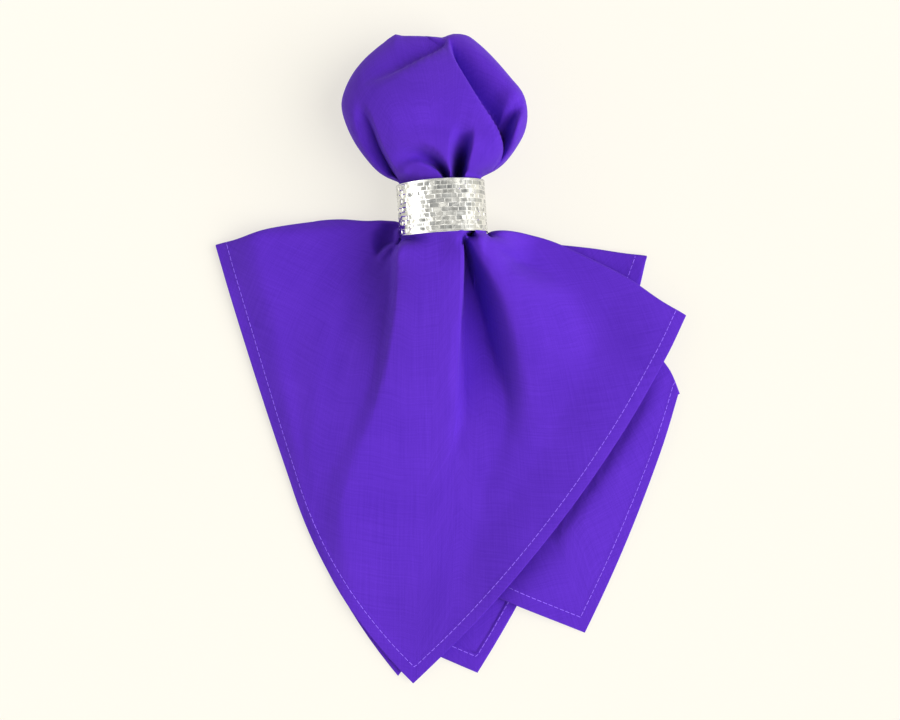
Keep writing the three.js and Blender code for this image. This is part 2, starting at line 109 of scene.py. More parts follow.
def blend_colours(tree, share, low, high):
    """A colour between two by a share from 0 to 1."""
    mixed = put(tree, "ShaderNodeMix", data_type="RGBA")
    tree.links.new(share, mixed.inputs["Factor"])
    for socket, value in ((mixed.inputs["A"], low), (mixed.inputs["B"], high)):
        if isinstance(value, bpy.types.NodeSocket):
            tree.links.new(value, socket)
        else:
            socket.default_value = value
    return mixed.outputs["Result"]


def new_group(name, inputs, outputs):
    """An empty shader node group with named sockets, and the nodes that hold them."""
    tree = bpy.data.node_groups.new(name, "ShaderNodeTree")
    for direction, sockets in (("INPUT", inputs), ("OUTPUT", outputs)):
        for socket, kind in sockets.items():
            tree.interface.new_socket(name=socket, in_out=direction, socket_type="NodeSocket" + kind)
    return tree, tree.nodes.new("NodeGroupInput").outputs, tree.nodes.new("NodeGroupOutput").inputs


def new_paint(name, colour, roughness, **constants):
    """A material, its node tree and its Principled shader with plain starting values."""
    paint = bpy.data.materials.new(name)
    paint.use_nodes = True
    shader = paint.node_tree.nodes["Principled BSDF"]
    shader.inputs["Base Color"].default_value = (*colour, 1)
    shader.inputs["Roughness"].default_value = roughness
    for socket, value in constants.items():
        shader.inputs[socket.replace("_", " ")].default_value = value
    return paint, paint.node_tree, shader


# Soft clouds of light and dark, as all real surfaces have from handling and uneven colour
CLOUD_DETAIL = 4.0
CLOUD_ROUGHNESS = 0.55
mottle, mottle_in, mottle_out = new_group(
    "soft_mottle", {"Place": "Vector", "Grain": "Float"}, {"Shade": "Float"})
clouds = put(mottle, "ShaderNodeTexNoise", mottle_in["Place"], None, mottle_in["Grain"],
             CLOUD_DETAIL, CLOUD_ROUGHNESS)
mottle.links.new(clouds.outputs["Fac"], mottle_out["Shade"])


def mottled(tree, place, grain):
    """The shade of the soft clouds at a place, with their grain for each unit of it."""
    made = put(tree, "ShaderNodeGroup", node_tree=mottle)
    tree.links.new(place, made.inputs["Place"])
    made.inputs["Grain"].default_value = grain
    return made.outputs["Shade"]


table_paint, tree, shader = new_paint(
    "table", (0.236, 0.23, 0.213), 0.9,
    Specular_IOR_Level=0.1, Emission_Color=(1, 0.974, 0.896, 1), Emission_Strength=TABLE_GLOW)
place = put(tree, "ShaderNodeTexCoord").outputs["Object"]
shade = mottled(tree, place, TABLE_GRAIN)
table_colour = blend_colours(tree, shade, (0.232, 0.226, 0.209, 1), (0.24, 0.234, 0.217, 1))
tree.links.new(table_colour, shader.inputs["Base Color"])
table_mesh.materials.append(table_paint)

# The light is one very wide soft source above and to the right of the camera, so that folds facing left
# go dark. A pale room all round fills the rest: its walls are brighter than its ceiling, the left one
# most of all, and uneven screens before them show as patches in the ring.
LIGHT_TURN = np.radians(-12)
LIGHT_CLIMB = np.radians(44)
LIGHT_WIDTH = np.radians(60)
LIGHT_STRENGTH = 3.6
lamp = placed("wide_light", bpy.data.lights.new("wide_light", "SUN"))
lamp.data.energy = LIGHT_STRENGTH
lamp.data.angle = LIGHT_WIDTH
lamp.data.color = (1, 0.99, 0.97)
lamp.visible_glossy = False
towards_lamp = Vector((
    np.cos(LIGHT_TURN) * np.cos(LIGHT_CLIMB), np.sin(LIGHT_TURN) * np.cos(LIGHT_CLIMB), np.sin(LIGHT_CLIMB)))
lamp.rotation_euler = towards_lamp.to_track_quat("Z", "Y").to_euler()

CEILING = 0.38
SIDE_WALLS = 0.62
LEFT_WALL = 1.1
WALL_TOP = (0.35, 0.9)  # the climb of a line of sight that leaves the walls, and that meets the ceiling
LEFT_SIDE = (-0.2, -0.7)  # its x where the left wall's light starts, and where it is full
SCREEN_GRAIN = 2.6
SCREEN_RANGE = (0.35, 0.65, 0.5, 1.5)  # the clouds' lowest and highest share, and the light at each
MIRROR_GAIN = 2.1  # the ring sees the screens without their veil, this much brighter
PICTURE_GAMMA = 0.86


def eased(tree, value, start, end, low, high):
    """Low at the start of a range and high at its end, with a soft rise or fall between them."""
    return put(tree, "ShaderNodeMapRange", value, start, end, low, high,
               interpolation_type="SMOOTHSTEP").outputs[0]


room = bpy.data.worlds.new("room")
room.use_nodes = True
room_tree = room.node_tree
sight = put(room_tree, "ShaderNodeTexCoord").outputs["Generated"]
direction = put(room_tree, "ShaderNodeSeparateXYZ", sight)
walls = eased(room_tree, direction.outputs["Z"], *WALL_TOP, 1.0, 0.0)
leftness = eased(room_tree, direction.outputs["X"], *LEFT_SIDE, 0.0, 1.0)
wall = math(room_tree, "MULTIPLY_ADD", leftness, LEFT_WALL - SIDE_WALLS, SIDE_WALLS)
radiance = math(room_tree, "MULTIPLY_ADD", walls, math(room_tree, "SUBTRACT", wall, CEILING), CEILING)
screens = put(room_tree, "ShaderNodeTexNoise", sight, None, SCREEN_GRAIN, 2.0, 0.5)
patches = put(room_tree, "ShaderNodeMapRange", screens.outputs["Fac"], *SCREEN_RANGE).outputs[0]
radiance = math(room_tree, "MULTIPLY", radiance, patches)
mirrored = put(room_tree, "ShaderNodeLightPath").outputs["Is Glossy Ray"]
gain = math(room_tree, "MULTIPLY_ADD", mirrored, MIRROR_GAIN - 1, 1.0)
radiance = math(room_tree, "MULTIPLY", radiance, gain)
room_tree.links.new(radiance, room_tree.nodes["Background"].inputs["Strength"])
room_tree.nodes["Background"].inputs["Color"].default_value = (1, 0.985, 0.95, 1)
bpy.context.scene.world = room
bpy.context.scene.view_settings.view_transform = "Standard"
bpy.context.scene.view_settings.gamma = PICTURE_GAMMA

# The napkin: one square of plain-woven polyester, 508 mm (20 in) a side, with a double-fold hem. It is
# pushed through the ring from its middle, so every thread runs from the puff through the ring and down
# the skirt. Columns of the mesh are rays from the napkin's middle to its hem, and rows go round them.
RING_RADIUS = 23.0
RING_HALF = 13.5
MOUTH_RADIUS = 20.9  # the cloth's middle surface where it enters and leaves the ring
WAIST_RADIUS = 21.0
HALF_SIDE = 254.0
CLOTH_THICK = 0.4
LAYER_PITCH = 1.6
REST_LEVEL = 0.65  # the middle surface's least height, so that the hem's wrong side clears the table
HEM_WIDTH = 7.2
STITCH_LINE = 6.2  # how far the stitches are from the edge

# Folds and corners around the hem: angle from the napkin's middle, where it lies, how far the hem
# swells on its way to the next row, the ray's shoulder beside the ring, and how far it is rounded out
# just before the hem.
HEM = np.array([
    # angle, x, y, bow, shoulder, round
    (-45.5, -120.9, -9.9, 0.8, 12.5, 0),  # left fold
    (-18, -89.6, -137.4, 8, 4.9, 0),  # middle of the left hem
    (0, -31.4, -247.9, 11, 0, 0),  # front corner
    (43, 124.6, -63.3, 0, 12.5, 0),  # right fold
    (81, 4.6, -199.1, 0, 0, 0),  # front pleat
    (90, 61.4, -227.4, 3, 0, 0),  # right corner
    (111, 118.8, -104, 0, 11, 11),  # second fold
    (124, 83, -87, 0, 2, 0),  # middle pleat
    (138, 107, -30.5, 10.5, 6, 0),  # third fold
    (180, 3, -244.9, 0, 0, 0),  # back corner
    (185, -32.5, -226.5, 0, 0, 0),  # end of the back corner's square edge
    (208, -88.2, -109.5, 0, 0, 0),  # back pleat
    (243.5, 62.8, -124.7, 0, 3, 0),  # inner fold
    (270, -39.3, -244, 6, 0, 0),  # left corner
    (287, -88, -138, 0.5, 4.8, 0),  # middle of the base's hem
    (314.5, -120.9, -9.9, 0, 12.5, 0),  # left fold
])
HEM_ANGLE, HEM_X, HEM_Y, HEM_BOW, HEM_SHOULDER, HEM_ROUND = HEM.T

# The skirt's layers from the top down: their first and last angle, the share of the loft over the
# stack that they stand at, how many rays of the mesh they have, and how many small pleats gather them
# into the ring.
LAYERS = np.array([
    # first, last, height, rays, pleats
    (-45.5, 43, 1, 97, 8),  # front panel
    (43, 81, 0.74, 37, 6),  # front turn-under
    (81, 111, 0.6, 25, 4),  # right panel
    (111, 124, 0.52, 7, 1),  # second turn-under
    (124, 138, 0.44, 7, 1),  # third panel
    (138, 208, 0.32, 55, 9),  # back panel
    (208, 243.5, 0.26, 31, 5),  # inner panel
    (243.5, 314.5, 0, 61, 10),  # base panel
])
LAYER_SHARE = LAYERS[:, 2]
PLEAT_FILL = 0.8  # how much of the gap over a layer its small pleats reach up into
PLEAT_ROOM = PLEAT_FILL * np.append(0, -np.diff(LAYER_SHARE))
FOLD_RAYS = 6

# Where rays lie around the ring's mouth, in degrees from its right side over the top to its left: the
# front panel wraps nearly all of it, and the turned-under layers share what is left at the bottom.
MOUTH_TURNS = np.array([
    # angle, turn
    (-45.5, 214), (-29, 196), (-17, 174), (-11, 152), (-3, 112), (3, 66), (8, 58), (13, 50), (29, 14),
    (43, -28), (81, -44), (111, -58), (124, -66), (138, -76), (208, -86), (243.5, -96), (314.5, -146),
])


def smooth(v):
    """Rises softly from 0 at nothing to 1 at 1."""
    v = np.clip(v, 0, 1)
    return v * v * (3 - 2 * v)


def fade(v, power):
    """Falls softly from 1 at nothing to 0 at 1, and steeper for a greater power."""
    return (1 - np.minimum(np.abs(v), 1) ** 2) ** power


def mix(a, b, share):
    """The value that lies the share of the way from a to b."""
    return a + (b - a) * share


def through(knots, values, at):
    """A smooth curve through a table's rows: a cubic between each two, whose slope at a row follows the
    rows on both sides. Values have a row for each knot and a column for each column of at."""
    last = len(knots) - 1
    low = np.maximum(np.arange(last + 1) - 1, 0)
    high = np.minimum(np.arange(last + 1) + 1, last)
    slope = (values[high] - values[low]) / (knots[high] - knots[low])[:, None]
    i = np.clip(np.searchsorted(knots, at) - 1, 0, last - 1)
    span = knots[i + 1] - knots[i]
    t = np.clip((at - knots[i]) / span, 0, 1)
    pick = lambda rows, k: np.take_along_axis(rows, k, axis=0)
    bend = t * (1 - t) * span * ((1 - t) * pick(slope, i) - t * pick(slope, i + 1))
    return mix(pick(values, i), pick(values, i + 1), t * t * (3 - 2 * t)) + bend


def hem_point(angle):
    """The hem's place in plan at an angle: its share of the way between two rows is its share of the
    square's straight side, and it swells away from the ring as an arc of the row's bow."""
    i = np.clip(np.searchsorted(HEM_ANGLE, angle) - 1, 0, len(HEM) - 2)
    side = 90 * np.floor((HEM_ANGLE[i] + HEM_ANGLE[i + 1]) / 180) + 45
    along = lambda turn: np.tan(np.radians(turn - side))
    share = (along(angle) - along(HEM_ANGLE[i])) / (along(HEM_ANGLE[i + 1]) - along(HEM_ANGLE[i]))
    dx = HEM_X[i + 1] - HEM_X[i]
    dy = HEM_Y[i + 1] - HEM_Y[i]
    away = np.where(dx * (-RING_HALF - HEM_Y[i]) + dy * HEM_X[i] > 0, -1, 1)
    swell = 4 * HEM_BOW[i] * share * (1 - share) * away / np.hypot(dx, dy)
    x = mix(HEM_X[i], HEM_X[i + 1], share) - swell * dy
    y = mix(HEM_Y[i], HEM_Y[i + 1], share) + swell * dx
    return x, y


# A ray's steps from the mouth to the hem: its share of the straight way, how far it has swung up
# beside the ring, where the left wing's fold hugs the ring and the right one leaves it later, and how
# far it is rounded out.
RAY_STEPS = np.array([
    # step, way, left, right, round
    (0, 0, 0, 0, 0), (0.025, 0, 0, 0, 0), (0.055, 0.015, 0.72, 0.2, 0), (0.085, 0.034, 1.02, 0.34, 0),
    (0.13, 0.1, 1.09, 0.62, 0), (0.21, 0.2, 1.08, 0.93, 0), (0.35, 0.34, 1.17, 1.1, 0),
    (0.5, 0.49, 1.07, 1, 0.1), (0.72, 0.71, 0.74, 0.74, 0.6), (0.88, 0.87, 0.29, 0.26, 1),
    (0.96, 0.96, 0.09, 0.08, 0.74), (1, 1, 0, 0, 0),
])
EXIT_LEG = 3.0  # how far rays run straight out of the mouth, and how much wider they stand there
EXIT_SPREAD = 1.15
WIDE_SHOULDER = 14.0  # a shoulder this wide is swung in full, and a smaller one by less than its width
LEFT_LEAN = 20.0  # rays that end this far to the left of their place in the mouth are in the left wing


def ray(angle, steps):
    """Rays in plan: straight out of the mouth, around the ring's lip and on to the hem."""
    turn = np.radians(np.interp(angle, *MOUTH_TURNS.T))
    mouth = MOUTH_RADIUS * np.cos(turn)
    shoulder = np.interp(angle, HEM_ANGLE, HEM_SHOULDER) ** 2 / WIDE_SHOULDER
    hem_x, hem_y = hem_point(angle)
    way = RAY_STEPS[:, 1, None]
    rise = np.where(hem_x < mouth - LEFT_LEAN, RAY_STEPS[:, 2, None], RAY_STEPS[:, 3, None])
    x = mix(mouth * EXIT_SPREAD, hem_x, way)
    y = mix(-RING_HALF - EXIT_LEG, hem_y, way) + shoulder * rise
    y += np.interp(angle, HEM_ANGLE, HEM_ROUND) * RAY_STEPS[:, 4, None]
    x[0] = mouth
    y[0] = -RING_HALF
    return through(RAY_STEPS[:, 0], x, steps), through(RAY_STEPS[:, 0], y, steps)


OUTLINE_STEPS = 16
OUTLINE_HEM_STEPS = 14


def outline(layer):
    """A layer's outline in plan: out along its first fold, round its hem and back along its last fold."""
    first, last = LAYERS[layer, :2]
    steps = np.linspace(0, 1, OUTLINE_STEPS)[:, None]
    out_x, out_y = ray(np.array([first]), steps)
    back_x, back_y = ray(np.array([last]), steps[::-1])
    hem_x, hem_y = hem_point(np.linspace(first, last, OUTLINE_HEM_STEPS)[1:-1])
    all_x = np.concatenate([out_x[:, 0], hem_x, back_x[:, 0]])
    all_y = np.concatenate([out_y[:, 0], hem_y, back_y[:, 0]])
    return all_x, all_y


def outside(edge, x, y):
    """How far places lie outside a closed outline: 0 inside it."""
    inside = np.zeros(x.shape, bool)
    nearest = np.full(x.shape, 1e9)
    for ax, ay, bx, by in zip(*edge, np.roll(edge[0], -1), np.roll(edge[1], -1)):
        crossed = (ay > y) != (by > y)
        inside ^= crossed & (x < ax + (bx - ax) * (y - ay) / (by - ay if by != ay else 1))
        length = max((bx - ax) ** 2 + (by - ay) ** 2, 1e-9)
        share = np.clip(((x - ax) * (bx - ax) + (y - ay) * (by - ay)) / length, 0, 1)
        nearest = np.minimum(nearest, np.hypot(x - mix(ax, bx, share), y - mix(ay, by, share)))
    return np.where(inside, 0, nearest)


CREASE_STEPS = 8  # straight steps of a crease's line between two rows of its table
CREASE_CROWDING = 0.8  # 0 for points left in place, and more for points drawn nearer to a crease


def rows_at(table, knots, at):
    """A table's columns at places between its rows, each in the shape of the places."""
    flat = np.asarray(at, float).reshape(1, -1)
    return [through(knots, table[:, k:k + 1], flat).reshape(np.shape(at)) for k in range(table.shape[1])]


def beside(run, x, y):
    """Where places lie along a crease, as a row number of its table, how far to its left, and the nearest
    place on it. The crease is a smooth line through the table's first two columns."""
    rows = np.arange(len(run), dtype=float)
    fine = np.linspace(0, rows[-1], CREASE_STEPS * (len(run) - 1) + 1)
    line = through(rows, run[:, :2], np.repeat(fine[:, None], 2, axis=1))
    along, side, near_x, near_y = np.zeros((4, *x.shape))
    nearest = np.full(x.shape, 1e9)
    for k, (a, b) in enumerate(zip(line[:-1], line[1:])):
        step = b - a
        length = np.hypot(*step)
        share = np.clip(((x - a[0]) * step[0] + (y - a[1]) * step[1]) / length ** 2, 0, 1)
        at_x = a[0] + step[0] * share
        at_y = a[1] + step[1] * share
        gap = np.hypot(x - at_x, y - at_y)
        off = (step[0] * (y - a[1]) - step[1] * (x - a[0])) / length
        closer = gap < nearest
        along = np.where(closer, mix(fine[k], fine[k + 1], share), along)
        side = np.where(closer, np.where(off >= 0, gap, -gap), side)
        near_x = np.where(closer, at_x, near_x)
        near_y = np.where(closer, at_y, near_y)
        nearest = np.minimum(nearest, gap)
    return along, side, near_x, near_y


def drawn_to(run, reach, x, y):
    """Places within reach of a crease drawn in towards it, the more the nearer they are, so that the
    mesh has most of its points where the cloth bends most."""
    along, side, near_x, near_y = beside(run, x, y)
    reach = np.interp(along, np.arange(len(run)), reach)
    share = np.clip(np.abs(side) / np.maximum(reach, 0.01), 0.001, 1) ** CREASE_CROWDING
    return near_x + (x - near_x) * share, near_y + (y - near_y) * share


# The front panel from its left valley over the ridge and the gully to the right bank, in rows down the
# skirt: where each runs and how high it stands over the table. Both edges of the ridge are folds: over
# the right one the cloth drops at once, and over the left one more softly down the skirt.
RIDGE = np.array([
    # y, valley x, z, left edge x, z, drop, crown z, right edge x, z, drop, bed x, z, bank x, z
    (-15.5, -30, 11, -21.2, 32, 6, 42.2, 9.1, 40.4, 10, 10.4, 24, 12, 37),
    (-21, -34, 10.6, -23.6, 36, 11, 41.2, 9.3, 40.6, 24, 11.2, 9, 14.2, 34),
    (-28, -43, 11, -24.3, 35.6, 12.5, 40, 9.1, 39.4, 31, 12.4, 4, 18.5, 32),
    (-35, -50, 11.2, -25, 35, 13, 38.4, 8.5, 38.2, 33, 13.6, 2, 22.8, 31.4),
    (-48, -56, 12.2, -26.7, 33, 11, 35, 7, 35.2, 31.5, 16.5, 1.5, 29, 28.4),
    (-64, -62, 13, -30.5, 28.6, 8, 30.3, 4.8, 30.6, 27, 19.6, 1.5, 33.5, 24.6),
    (-80, -66, 12.5, -34.5, 24.2, 5.6, 25.2, 3, 25, 20.5, 23.4, 3.4, 36.5, 20),
    (-101, -70, 11.5, -41.5, 19.2, 2.4, 18.8, 1.2, 17.8, 8.6, 28, 8, 39, 14.6),
    (-122, -76, 9.5, -52, 15.2, 1.6, 14, -2, 12.4, 1.4, 25, 9.6, 40, 12),
    (-142, -76, 7.2, -60.5, 12.2, 1.2, 10.8, -8, 9.4, 0.4, 16, 7.4, 36, 9.4),
    (-165, -74, 5.5, -64, 9.6, 1, 8.3, -14, 7, 0, 9, 5.6, 32, 7.4),
    (-190, -68, 4, -62, 6, 0, 5.8, -16, 5, 0, 0, 4.2, 20, 5.4),
])
RIGHT_EDGE_WIDTH = 1.1
LEFT_EDGE_WIDTH = 4.5
FAR_EDGE_WIDTH = 11.0  # the left edge widens to this down the skirt
FLANK_BENDS = (2.3, 1.15)  # powers of the flank's curve and the fall's, by the ring and down the skirt
FALL_BENDS = (1.8, 1.3)
CROWN_BEND = 2.6
BANK_BEND = 1.75
WING_BEND = 0.8
RIDGE_END = -178.0  # where the ridge starts to fade into the plain panel, and over what length
RIDGE_FADE = 44.0
BANK_REACH_IN_MOUTH = 11.0  # how far beyond the bank it fades, by the ring and down the skirt
BANK_REACH = 42.0

# The left wing from its hem over a level shelf to the ridge's valley, in the same rows
WING = np.array([
    # hem x, z, shelf x, z
    (-119.6, 4, -96, 13.4), (-118, 4.2, -96, 13.4), (-116.4, 4.5, -94, 13), (-114.7, 4.5, -93, 12),
    (-111.6, 4.2, -89, 11.4), (-108.2, 3.8, -88, 9.6), (-104.3, 3.5, -87, 9), (-99.2, 3.2, -85, 8.6),
    (-93.4, 3, -83, 7.6), (-88.2, 2.8, -81, 6), (-80.3, 2.6, -77, 4.7), (-70.2, 2.4, -69, 3.6),
])
WING_TOP = 4.0
WING_TOP_FADE = 10.0

# Smaller folds beside the ring, each followed along its run: its place, its width to the left and right
# of the run, and the height that it brings the cloth to.
SKIRT_FOLDS = {
    "recess by the ring": [
        (-22.5, -5, 4, 4, 8), (-28, -6.5, 8, 6, 6), (-32, -10.5, 10, 6, 4.5), (-33.5, -15, 9, 5, 4.5),
        (-34, -18.5, 6, 3.5, 7), (-33.5, -21.5, 3, 3, 10),
    ],
    "small ridge": [
        (-20, -14.2, 2.4, 2.2, 27), (-24, -15.6, 3, 3, 23), (-28, -17.6, 4, 4, 19),
        (-31.5, -20.5, 5, 4.5, 15), (-34, -25, 6, 5, 12),
    ],
}
SKIRT_FOLDS = {name: np.array(rows, float) for name, rows in SKIRT_FOLDS.items()}


def front_height(x, y, plain):
    """The front panel's height at places in plan. From left to right it follows the wing's rows and the
    ridge's: up from the hem to the shelf and down to the valley, up the flank in a hollow curve and up
    the left edge's drop, over the crown in a full arch, down the right edge's drop and a fall that
    flattens out, and up the bank in a rise that rounds off. Beyond these rows it is the plain height.
    The smaller folds pull it to their own heights with a bell-shaped share."""
    down = -RIDGE[:, 0]
    at = np.clip(-y, down[0], down[-1])
    (valley, valley_z, left, left_z, left_drop, crown_z, right, right_z, right_drop,
     bed, bed_z, bank, bank_z) = rows_at(RIDGE[:, 1:], down, at)
    hem_x, hem_z, shelf, shelf_z = rows_at(WING, down, at)
    far = smooth((at - 22) / 60)
    foot = left_z - left_drop
    flank = np.clip((x - valley) / (left - valley), 0, 1) ** mix(*FLANK_BENDS, smooth((at - 40) / 50))
    arch = np.clip((x - left) / (right - left), 0, 1)
    crown = (crown_z - (left_z + right_z) / 2) * (1 - np.abs(2 * arch - 1) ** CROWN_BEND)
    fall = 1 - (1 - np.clip((x - right) / (bed - right), 0, 1)) ** mix(*FALL_BENDS, far)
    rise = 1 - (1 - np.clip((x - bed) / (bank - bed), 0, 1)) ** BANK_BEND
    wing = mix(hem_z, shelf_z, smooth((x - hem_x) / (shelf - hem_x)) ** WING_BEND)
    wing = np.where(x > shelf, mix(shelf_z, valley_z, smooth((x - shelf) / (valley - shelf))), wing)
    flank = np.where(x > valley, mix(valley_z, foot, flank), wing)
    edge_width = mix(LEFT_EDGE_WIDTH, FAR_EDGE_WIDTH, smooth((at - 70) / 60))
    height = flank + left_drop * smooth((x - left) / edge_width + 1)
    height = np.where(x > left, mix(left_z, right_z, arch) + crown, height)
    drop = right_drop * (1 - smooth((x - right) / RIGHT_EDGE_WIDTH))
    beyond = mix(right_z - right_drop, bed_z, fall) + drop
    height = np.where(x > right, beyond, height)
    height = np.where(x > bed, mix(bed_z, bank_z, rise), height)
    bank_reach = mix(BANK_REACH_IN_MOUTH, BANK_REACH, smooth((at - 17) / 30))
    inside = (1 - smooth((x - bank) / bank_reach)) * (1 - smooth((RIDGE_END - y) / RIDGE_FADE))
    in_wing = smooth((-RING_RADIUS - x) / 4) * smooth((WING_TOP - y) / WING_TOP_FADE)
    inside = inside * np.maximum(smooth((-RING_HALF - y) / 4), in_wing)
    height = mix(plain, height, inside)
    for run in SKIRT_FOLDS.values():
        along, side, _, _ = beside(run, x, y)
        left, right, target = (np.interp(along, np.arange(len(run)), run[:, k]) for k in (2, 3, 4))
        height = mix(height, target, fade(side / np.where(side > 0, left, right), 2))
    return height


# How the skirt's shape changes with the distance from the ring's mouth
ROUND_REACH = 12.0  # a half circle in the mouth has become a flatter arch
BASE_REACH = 46.0  # the base has come down to the table
LOFT_REACH = 130.0  # the hump over the mouth has gone
STACK_REACH = 20.0  # the layers have parted to their full pitch
STEEP_PITCH = 0.8  # what is added to the pitch on the steep base, and all over the loose skirt
LOOSE_PITCH = 0.35
LOOSE_REACH = 170.0
WING_LOFT = 6.0  # the wings' own loft, and where it is highest
WING_PEAK = 26.0
PIVOT_REACH = 22.0  # the ridge's heights are scaled from the table, no longer from the base
LAYER_MARGIN = 9.0  # how far past a layer's outline it still lifts those above, and fades from there
SINK_REACH = 40.0
OUTLINES = [outline(layer) for layer in range(len(LAYERS))]


def skirt_heights(x, y):
    """Heights of all layers at places in plan: the base that hangs from the ring's mouth to the table,
    one pitch for each layer beneath, and a share of the loft under the round mouth's hump."""
    to_left = np.hypot(x + MOUTH_RADIUS, y + RING_HALF)
    to_right = np.hypot(x - MOUTH_RADIUS, y + RING_HALF)
    stretch = np.maximum((to_left + to_right) / (2 * MOUTH_RADIUS), 1)
    away = MOUTH_RADIUS * np.sqrt(stretch ** 2 - 1)
    share = np.clip((to_left - to_right) / (2 * MOUTH_RADIUS), -1, 1)
    rise = MOUTH_RADIUS * (1 - share ** 2) ** mix(0.5, 1, smooth(away / ROUND_REACH))
    base = REST_LEVEL + (RING_RADIUS - rise - REST_LEVEL) * fade(away / BASE_REACH, 3)
    loose = STEEP_PITCH * fade(away / BASE_REACH, 2) + LOOSE_PITCH * fade(away / LOOSE_REACH, 1)
    closed = (1 - fade(away / STACK_REACH, 3)) * (1 + loose)
    lifts = [fade(np.maximum(outside(edge, x, y) - LAYER_MARGIN, 0) / SINK_REACH, 2) for edge in OUTLINES]
    stack = LAYER_PITCH * closed * (np.cumsum(lifts[::-1], axis=0)[::-1] - lifts)
    sideways = 1 - rise / MOUTH_RADIUS
    wing = WING_LOFT * away / WING_PEAK * np.exp(1 - away / WING_PEAK) * sideways
    hump = 2 * rise * fade(away / LOFT_REACH, 4) + wing * fade(away / LOFT_REACH, 2)
    loft = np.maximum(hump - stack[0], 0)
    flat_over = stack + loft * LAYER_SHARE[:, None, None]
    pleated_over = flat_over + loft * PLEAT_ROOM[:, None, None] * PLEAT
    plain = base + flat_over[0]
    pivot = mix(base, REST_LEVEL, smooth(away / PIVOT_REACH))
    factor = 1 + (front_height(x, y, plain) - plain) / np.maximum(plain - pivot, 1)
    factor = np.maximum(factor, 0.1)
    return base, pivot, factor, pleated_over


def columns():
    """The mesh's rays in order round the cloth: for each its layer, its angle, how far round the fold
    after its layer it lies (0 where it is in the layer), and its angle on the flat cloth."""
    layer, angle, roll, flat = [], [], [], []
    for k, (first, last, _, rays, _) in enumerate(LAYERS):
        count = int(rays)
        spread = np.linspace(first, last, count)
        corner = 90 * np.ceil(first / 90)
        if corner < last:
            spread[np.argmin(np.abs(spread - corner))] = corner
        layer.append(np.full(count + FOLD_RAYS, k))
        angle.append(np.concatenate([spread, np.full(FOLD_RAYS, last)]))
        roll.append(np.concatenate([np.zeros(count), np.pi * np.arange(1, FOLD_RAYS + 1) / (FOLD_RAYS + 1)]))
        flat.append(np.linspace(first, last, count + FOLD_RAYS, endpoint=False))
    return map(np.concatenate, (layer, angle, roll, flat))


LAYER, ANGLE, ROLL, FLAT_ANGLE = columns()
AROUND = len(LAYER)
PLEAT_TURN = (ANGLE - LAYERS[LAYER, 0]) / (LAYERS[LAYER, 1] - LAYERS[LAYER, 0]) * LAYERS[LAYER, 4]
PLEAT = np.sin(np.pi * PLEAT_TURN) ** 2  # 0 on the outer edges of the small pleats, 1 at their depth

# Rows of the skirt: first at these distances from the hem, close together over its double fold and
# stitches, and then nearer and nearer to each other up to the ring.
HEM_ROWS = np.array([0, 0.3, 1.2, 2.8, 4.4, 5.5, 6.2, 6.8, 7.2, 7.6, 8.6])
SKIRT_ROWS = 56
ROW_CROWDING = 1.4
RAY_SAMPLES = 120


def skirt_steps():
    """Each ray's steps at the skirt's rows, one column for each ray, so that the rows near the hem run
    along it: a distance from the hem on the flat cloth is longer along a ray that meets it aslant."""
    fine = np.linspace(0, 1, RAY_SAMPLES)
    x, y = ray(ANGLE, np.repeat(fine[:, None], AROUND, axis=1))
    run = np.hypot(np.diff(x, axis=0), np.diff(y, axis=0))
    length = np.vstack([np.zeros(AROUND), np.cumsum(run, axis=0)])
    aslant = 1 / np.cos(np.radians(np.abs((ANGLE % 90) - 45)))
    from_hem = HEM_ROWS[:, None] * aslant
    rest = (np.arange(SKIRT_ROWS)[::-1] / SKIRT_ROWS)[:, None] ** ROW_CROWDING
    from_mouth = np.vstack([length[-1] - from_hem, (length[-1] - from_hem[-1]) * rest])
    steps = [np.interp(from_mouth[:, k], length[:, k], fine) for k in range(AROUND)]
    return np.stack(steps, axis=1), from_mouth


LEFT_EDGE, RIGHT_EDGE = 3, 7  # their columns in the ridge's rows
EDGE_REACH = np.array([0.5, 2, 3, 3.5, 4, 4, 4, 4, 3.5, 3, 2, 0.5])  # how far off points are drawn to them
MOUTH_BLEND = 24.0  # how far the skirt takes to grow out of the round mouth
MOUTH_PLEATS = 4.5  # how deep the hidden layers' small pleats are in the mouth
MOUTH_ROLL = 3.0  # the widest half round of a fold, in the mouth and in the skirt
SKIRT_ROLL = 1.3
RING_CLEAR = 0.55  # from the ring's outside to the cloth beside it
HEM_LIFT = 3.4  # how far the front panel's right hem stands off the layer under it
HEM_LIFT_REACH = 40.0
HEM_SWELL = 3.6  # how high the right panel swells up beside the front panel's hem
HEM_SWELL_START = 0.5
HEM_SWELL_RISE = 5.0
HEM_SWELL_REACH = 40.0
HEM_CROWDING_REACH = 13.0  # how far off points are drawn to it
FRONT_HEM_POINTS = 7
OWN_HEM = 9.0  # the right panel's own hem and the rows beside it keep their places
NOTCH_PLACE = 10.5  # where the gully runs into the mouth, and the share of the height that it takes
NOTCH_WIDTH = 3.0
NOTCH_DEPTH = 0.5
NOTCH_BLEND = 5.0


def notch_in(x, z, radius):
    """Heights in a round section of the gathered cloth, pressed down towards the section's floor where
    the gully runs into the ring."""
    floor = RING_RADIUS - np.sqrt(np.maximum(radius ** 2 - x ** 2, 0))
    return floor + (z - floor) * (1 - NOTCH_DEPTH * fade((x - NOTCH_PLACE) / NOTCH_WIDTH, 2))


